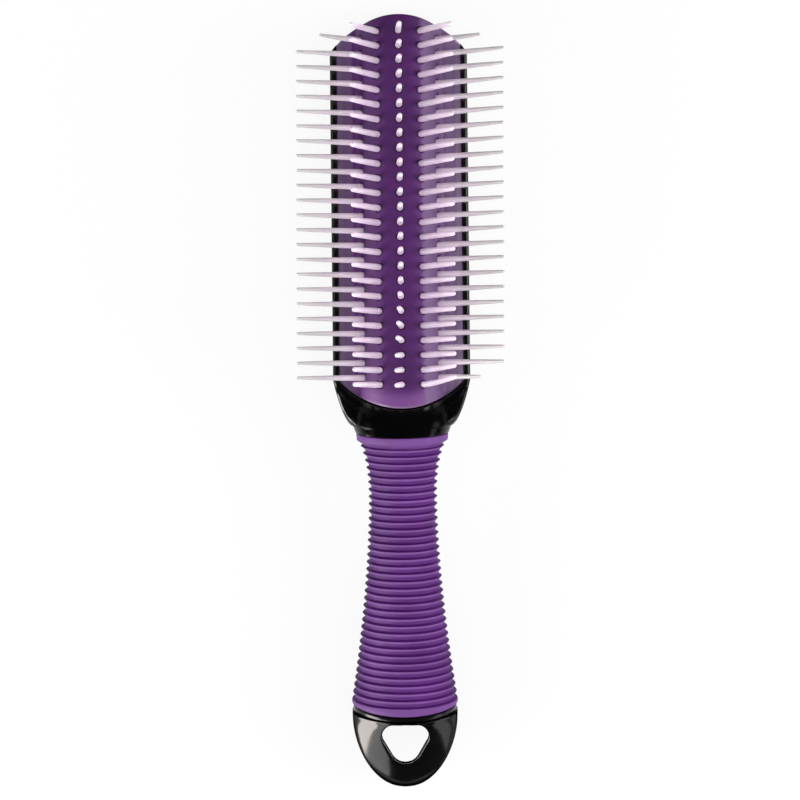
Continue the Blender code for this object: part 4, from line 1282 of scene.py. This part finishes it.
def cap_surfaces(brush):
    """Front and back round the hanging hole, the hole's wall, the front face and the spigot.

    The shade is 1 in the hole and round the outline, where the gloss is duller.
    """
    cap = brush.cap
    x, y = hole_outline(brush)
    along = cap.length * np.cos(quarter_turn(CAP_SIDE_STEPS))
    along[-1] = 0
    edge_x = join(cap_half_width(along, brush), np.linspace(cap.half_width, 0, CAP_TOP_STEPS + 1)[1:])
    edge_x[0] = 0
    edge = mirror_loop(edge_x, join(along, np.zeros(CAP_TOP_STEPS)))
    faces = [cap_face(side, x, rim_along(x, y, side, brush), *edge, brush) for side in (1, -1)]
    (front, _), (back, _) = faces
    levels = np.linspace(0, 1, 10)[:, None, None]
    rim, face = (front[i] * (1 - levels) + back[i] * levels for i in (0, -1))
    deep = -cap.spigot_length
    spigot_along = cap_start(brush) + np.array([OVERLAP, 0, deep + SPIGOT_ROUND, deep])
    spigot_radius = cap.spigot_radius - np.array([0, 0, 0, SPIGOT_ROUND])
    spigot = oval_rings(spigot_radius, spigot_along, circle(SPIGOT_STEPS), brush)
    return [*(sheet(*made) for made in faces), sheet(rim, 1.0), sheet(face), tube(spigot)]


class STYLINGBRUSH_OT_end_cap(bpy.types.Operator):
    """Builds the glossy end cap with its hanging hole"""

    bl_idname = "styling_brush.end_cap"
    bl_label = "End Cap"

    def execute(self, context):
        brush = context.scene.styling_brush
        finish = black_plastic("cap_black_plastic", brush.finish.black, 0.13, 0.0)
        surfaces = cap_surfaces(brush)
        add_piece(context, "hanging_cap", surfaces, finish, HANDLE, ["end_cap"], True)
        return {"FINISHED"}


# ---------------------------------------------------------------- stage


def brush_matrix(brush):
    """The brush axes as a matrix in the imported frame."""
    rows, origin = brush_axes(brush)
    matrix = Matrix(rows.T.tolist()).to_4x4()
    matrix.translation = origin.tolist()
    return matrix


def add_holder(context, data, matrix):
    """Puts a camera, a lamp or a mesh in the scene."""
    holder = bpy.data.objects.new(data.name, data)
    context.scene.collection.objects.link(holder)
    holder.matrix_world = matrix
    return holder


def add_camera(context, brush):
    """A long lens out along the brush's Z, turned by a small roll."""
    studio = brush.studio
    camera = bpy.data.cameras.new("camera")
    camera.lens, camera.sensor_width = studio.lens, SENSOR
    camera.clip_start, camera.clip_end = CLIP
    camera.shift_y = studio.setback / studio.distance * studio.lens / SENSOR
    place = Matrix.Translation((studio.aim_x, studio.aim_y - studio.setback, studio.distance))
    matrix = brush_matrix(brush) @ place @ Matrix.Rotation(studio.roll, 4, "Z")
    context.scene.camera = add_holder(context, camera, matrix)


def add_lamp(context, brush, name, place, size, power, hidden, colour):
    """A soft box at a place in brush axes, which faces the middle of the brush.

    It may be hidden from one kind of ray: soft light stays out of the gloss, and a board that
    only shows in the gloss adds no light.
    """
    lamp = bpy.data.lights.new(name, "AREA")
    lamp.shape = "RECTANGLE"
    lamp.size, lamp.size_y = size
    lamp.energy = power * brush.studio.lamp
    lamp.color = colour
    spot = brush_matrix(brush) @ Vector(place)
    turn = spot.to_track_quat("Z", "Y").to_matrix().to_4x4()
    holder = add_holder(context, lamp, Matrix.Translation(spot) @ turn)
    if hidden:
        setattr(holder, hidden, False)


def floor_finish(colour):
    """Matte floor that also glows a little for the camera and in gloss, so that it reads as white."""
    finish = new_material("studio_floor")
    nodes = finish.node_tree.nodes
    shader = nodes["Principled BSDF"]
    plug(finish, shader, {"Base Color": mottled(finish, colour, 3, 2, 0.995, 1.005), "Roughness": 0.9})
    glow = add_node(finish, "Emission", {"Color": (1, 1, 1, 1), "Strength": 1.0})["Emission"]
    rays = add_node(finish, "LightPath")
    seen = rays["Is Camera Ray"]
    for name in ("Is Glossy Ray", "Is Transmission Ray"):
        seen = add_node(finish, "Math", {0: seen, 1: rays[name]}, operation="MAXIMUM")[0]
    part = add_node(finish, "Math", {0: seen, 1: FLOOR_GLOW}, operation="MULTIPLY")[0]
    blend = add_node(finish, "MixShader", {"Fac": part, 1: shader.outputs["BSDF"], 2: glow})["Shader"]
    plug(finish, nodes["Material Output"], {"Surface": blend})
    return finish


class STYLINGBRUSH_OT_stage(bpy.types.Operator):
    """Sets up the floor, the soft boxes, the even light and the camera"""

    bl_idname = "styling_brush.stage"
    bl_label = "Stage"

    def execute(self, context):
        scene = context.scene
        brush = scene.styling_brush
        half = brush.studio.floor_half
        mesh = bpy.data.meshes.new("floor")
        points = [(-half, -half, 0), (half, -half, 0), (half, half, 0), (-half, half, 0)]
        mesh.from_pydata(points, [], [(0, 1, 2, 3)])
        mesh.materials.append(floor_finish(brush.finish.floor))
        floor = add_holder(context, mesh, Matrix())
        for lamp in LAMPS:
            add_lamp(context, brush, *lamp)
        scene.world = bpy.data.worlds.new("studio_world")
        scene.world.use_nodes = True
        sky = scene.world.node_tree.nodes["Background"]
        sky.inputs["Color"].default_value = (1, 1, 1, 1)
        sky.inputs["Strength"].default_value = brush.studio.sky
        scene.view_settings.view_transform = "Standard"
        add_camera(context, brush)
        return {"FINISHED"}


# ---------------------------------------------------------------- panel and registration


class STYLINGBRUSH_PT_panel(bpy.types.Panel):
    """Lists the pieces of the brush"""

    bl_label = "Styling Brush"
    bl_idname = "STYLINGBRUSH_PT_panel"
    bl_space_type = "VIEW_3D"
    bl_region_type = "UI"
    bl_category = "Styling Brush"

    def draw(self, context):
        for operator in OPERATORS:
            self.layout.operator(operator.bl_idname)


GROUPS = (HeadSizes, PadSizes, PinSizes, GripSizes, CapSizes, Finishes, Studio, StylingBrush)
OPERATORS = (
    STYLINGBRUSH_OT_frame,
    STYLINGBRUSH_OT_pad,
    STYLINGBRUSH_OT_pin_rows,
    STYLINGBRUSH_OT_grip_sleeve,
    STYLINGBRUSH_OT_retaining_ring,
    STYLINGBRUSH_OT_end_cap,
    STYLINGBRUSH_OT_stage,
)


def register():
    for item in (*GROUPS, *OPERATORS, STYLINGBRUSH_PT_panel):
        bpy.utils.register_class(item)
    bpy.types.Scene.styling_brush = PointerProperty(type=StylingBrush)


def unregister():
    del bpy.types.Scene.styling_brush
    for item in reversed((*GROUPS, *OPERATORS, STYLINGBRUSH_PT_panel)):
        bpy.utils.unregister_class(item)


def main():
    register()
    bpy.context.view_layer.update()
    bpy.ops.styling_brush.frame()
    bpy.ops.styling_brush.pad()
    bpy.ops.styling_brush.pin_rows()
    bpy.ops.styling_brush.grip_sleeve()
    bpy.ops.styling_brush.retaining_ring()
    bpy.ops.styling_brush.end_cap()
    bpy.ops.styling_brush.stage()


if __name__ == "__main__":
    main()
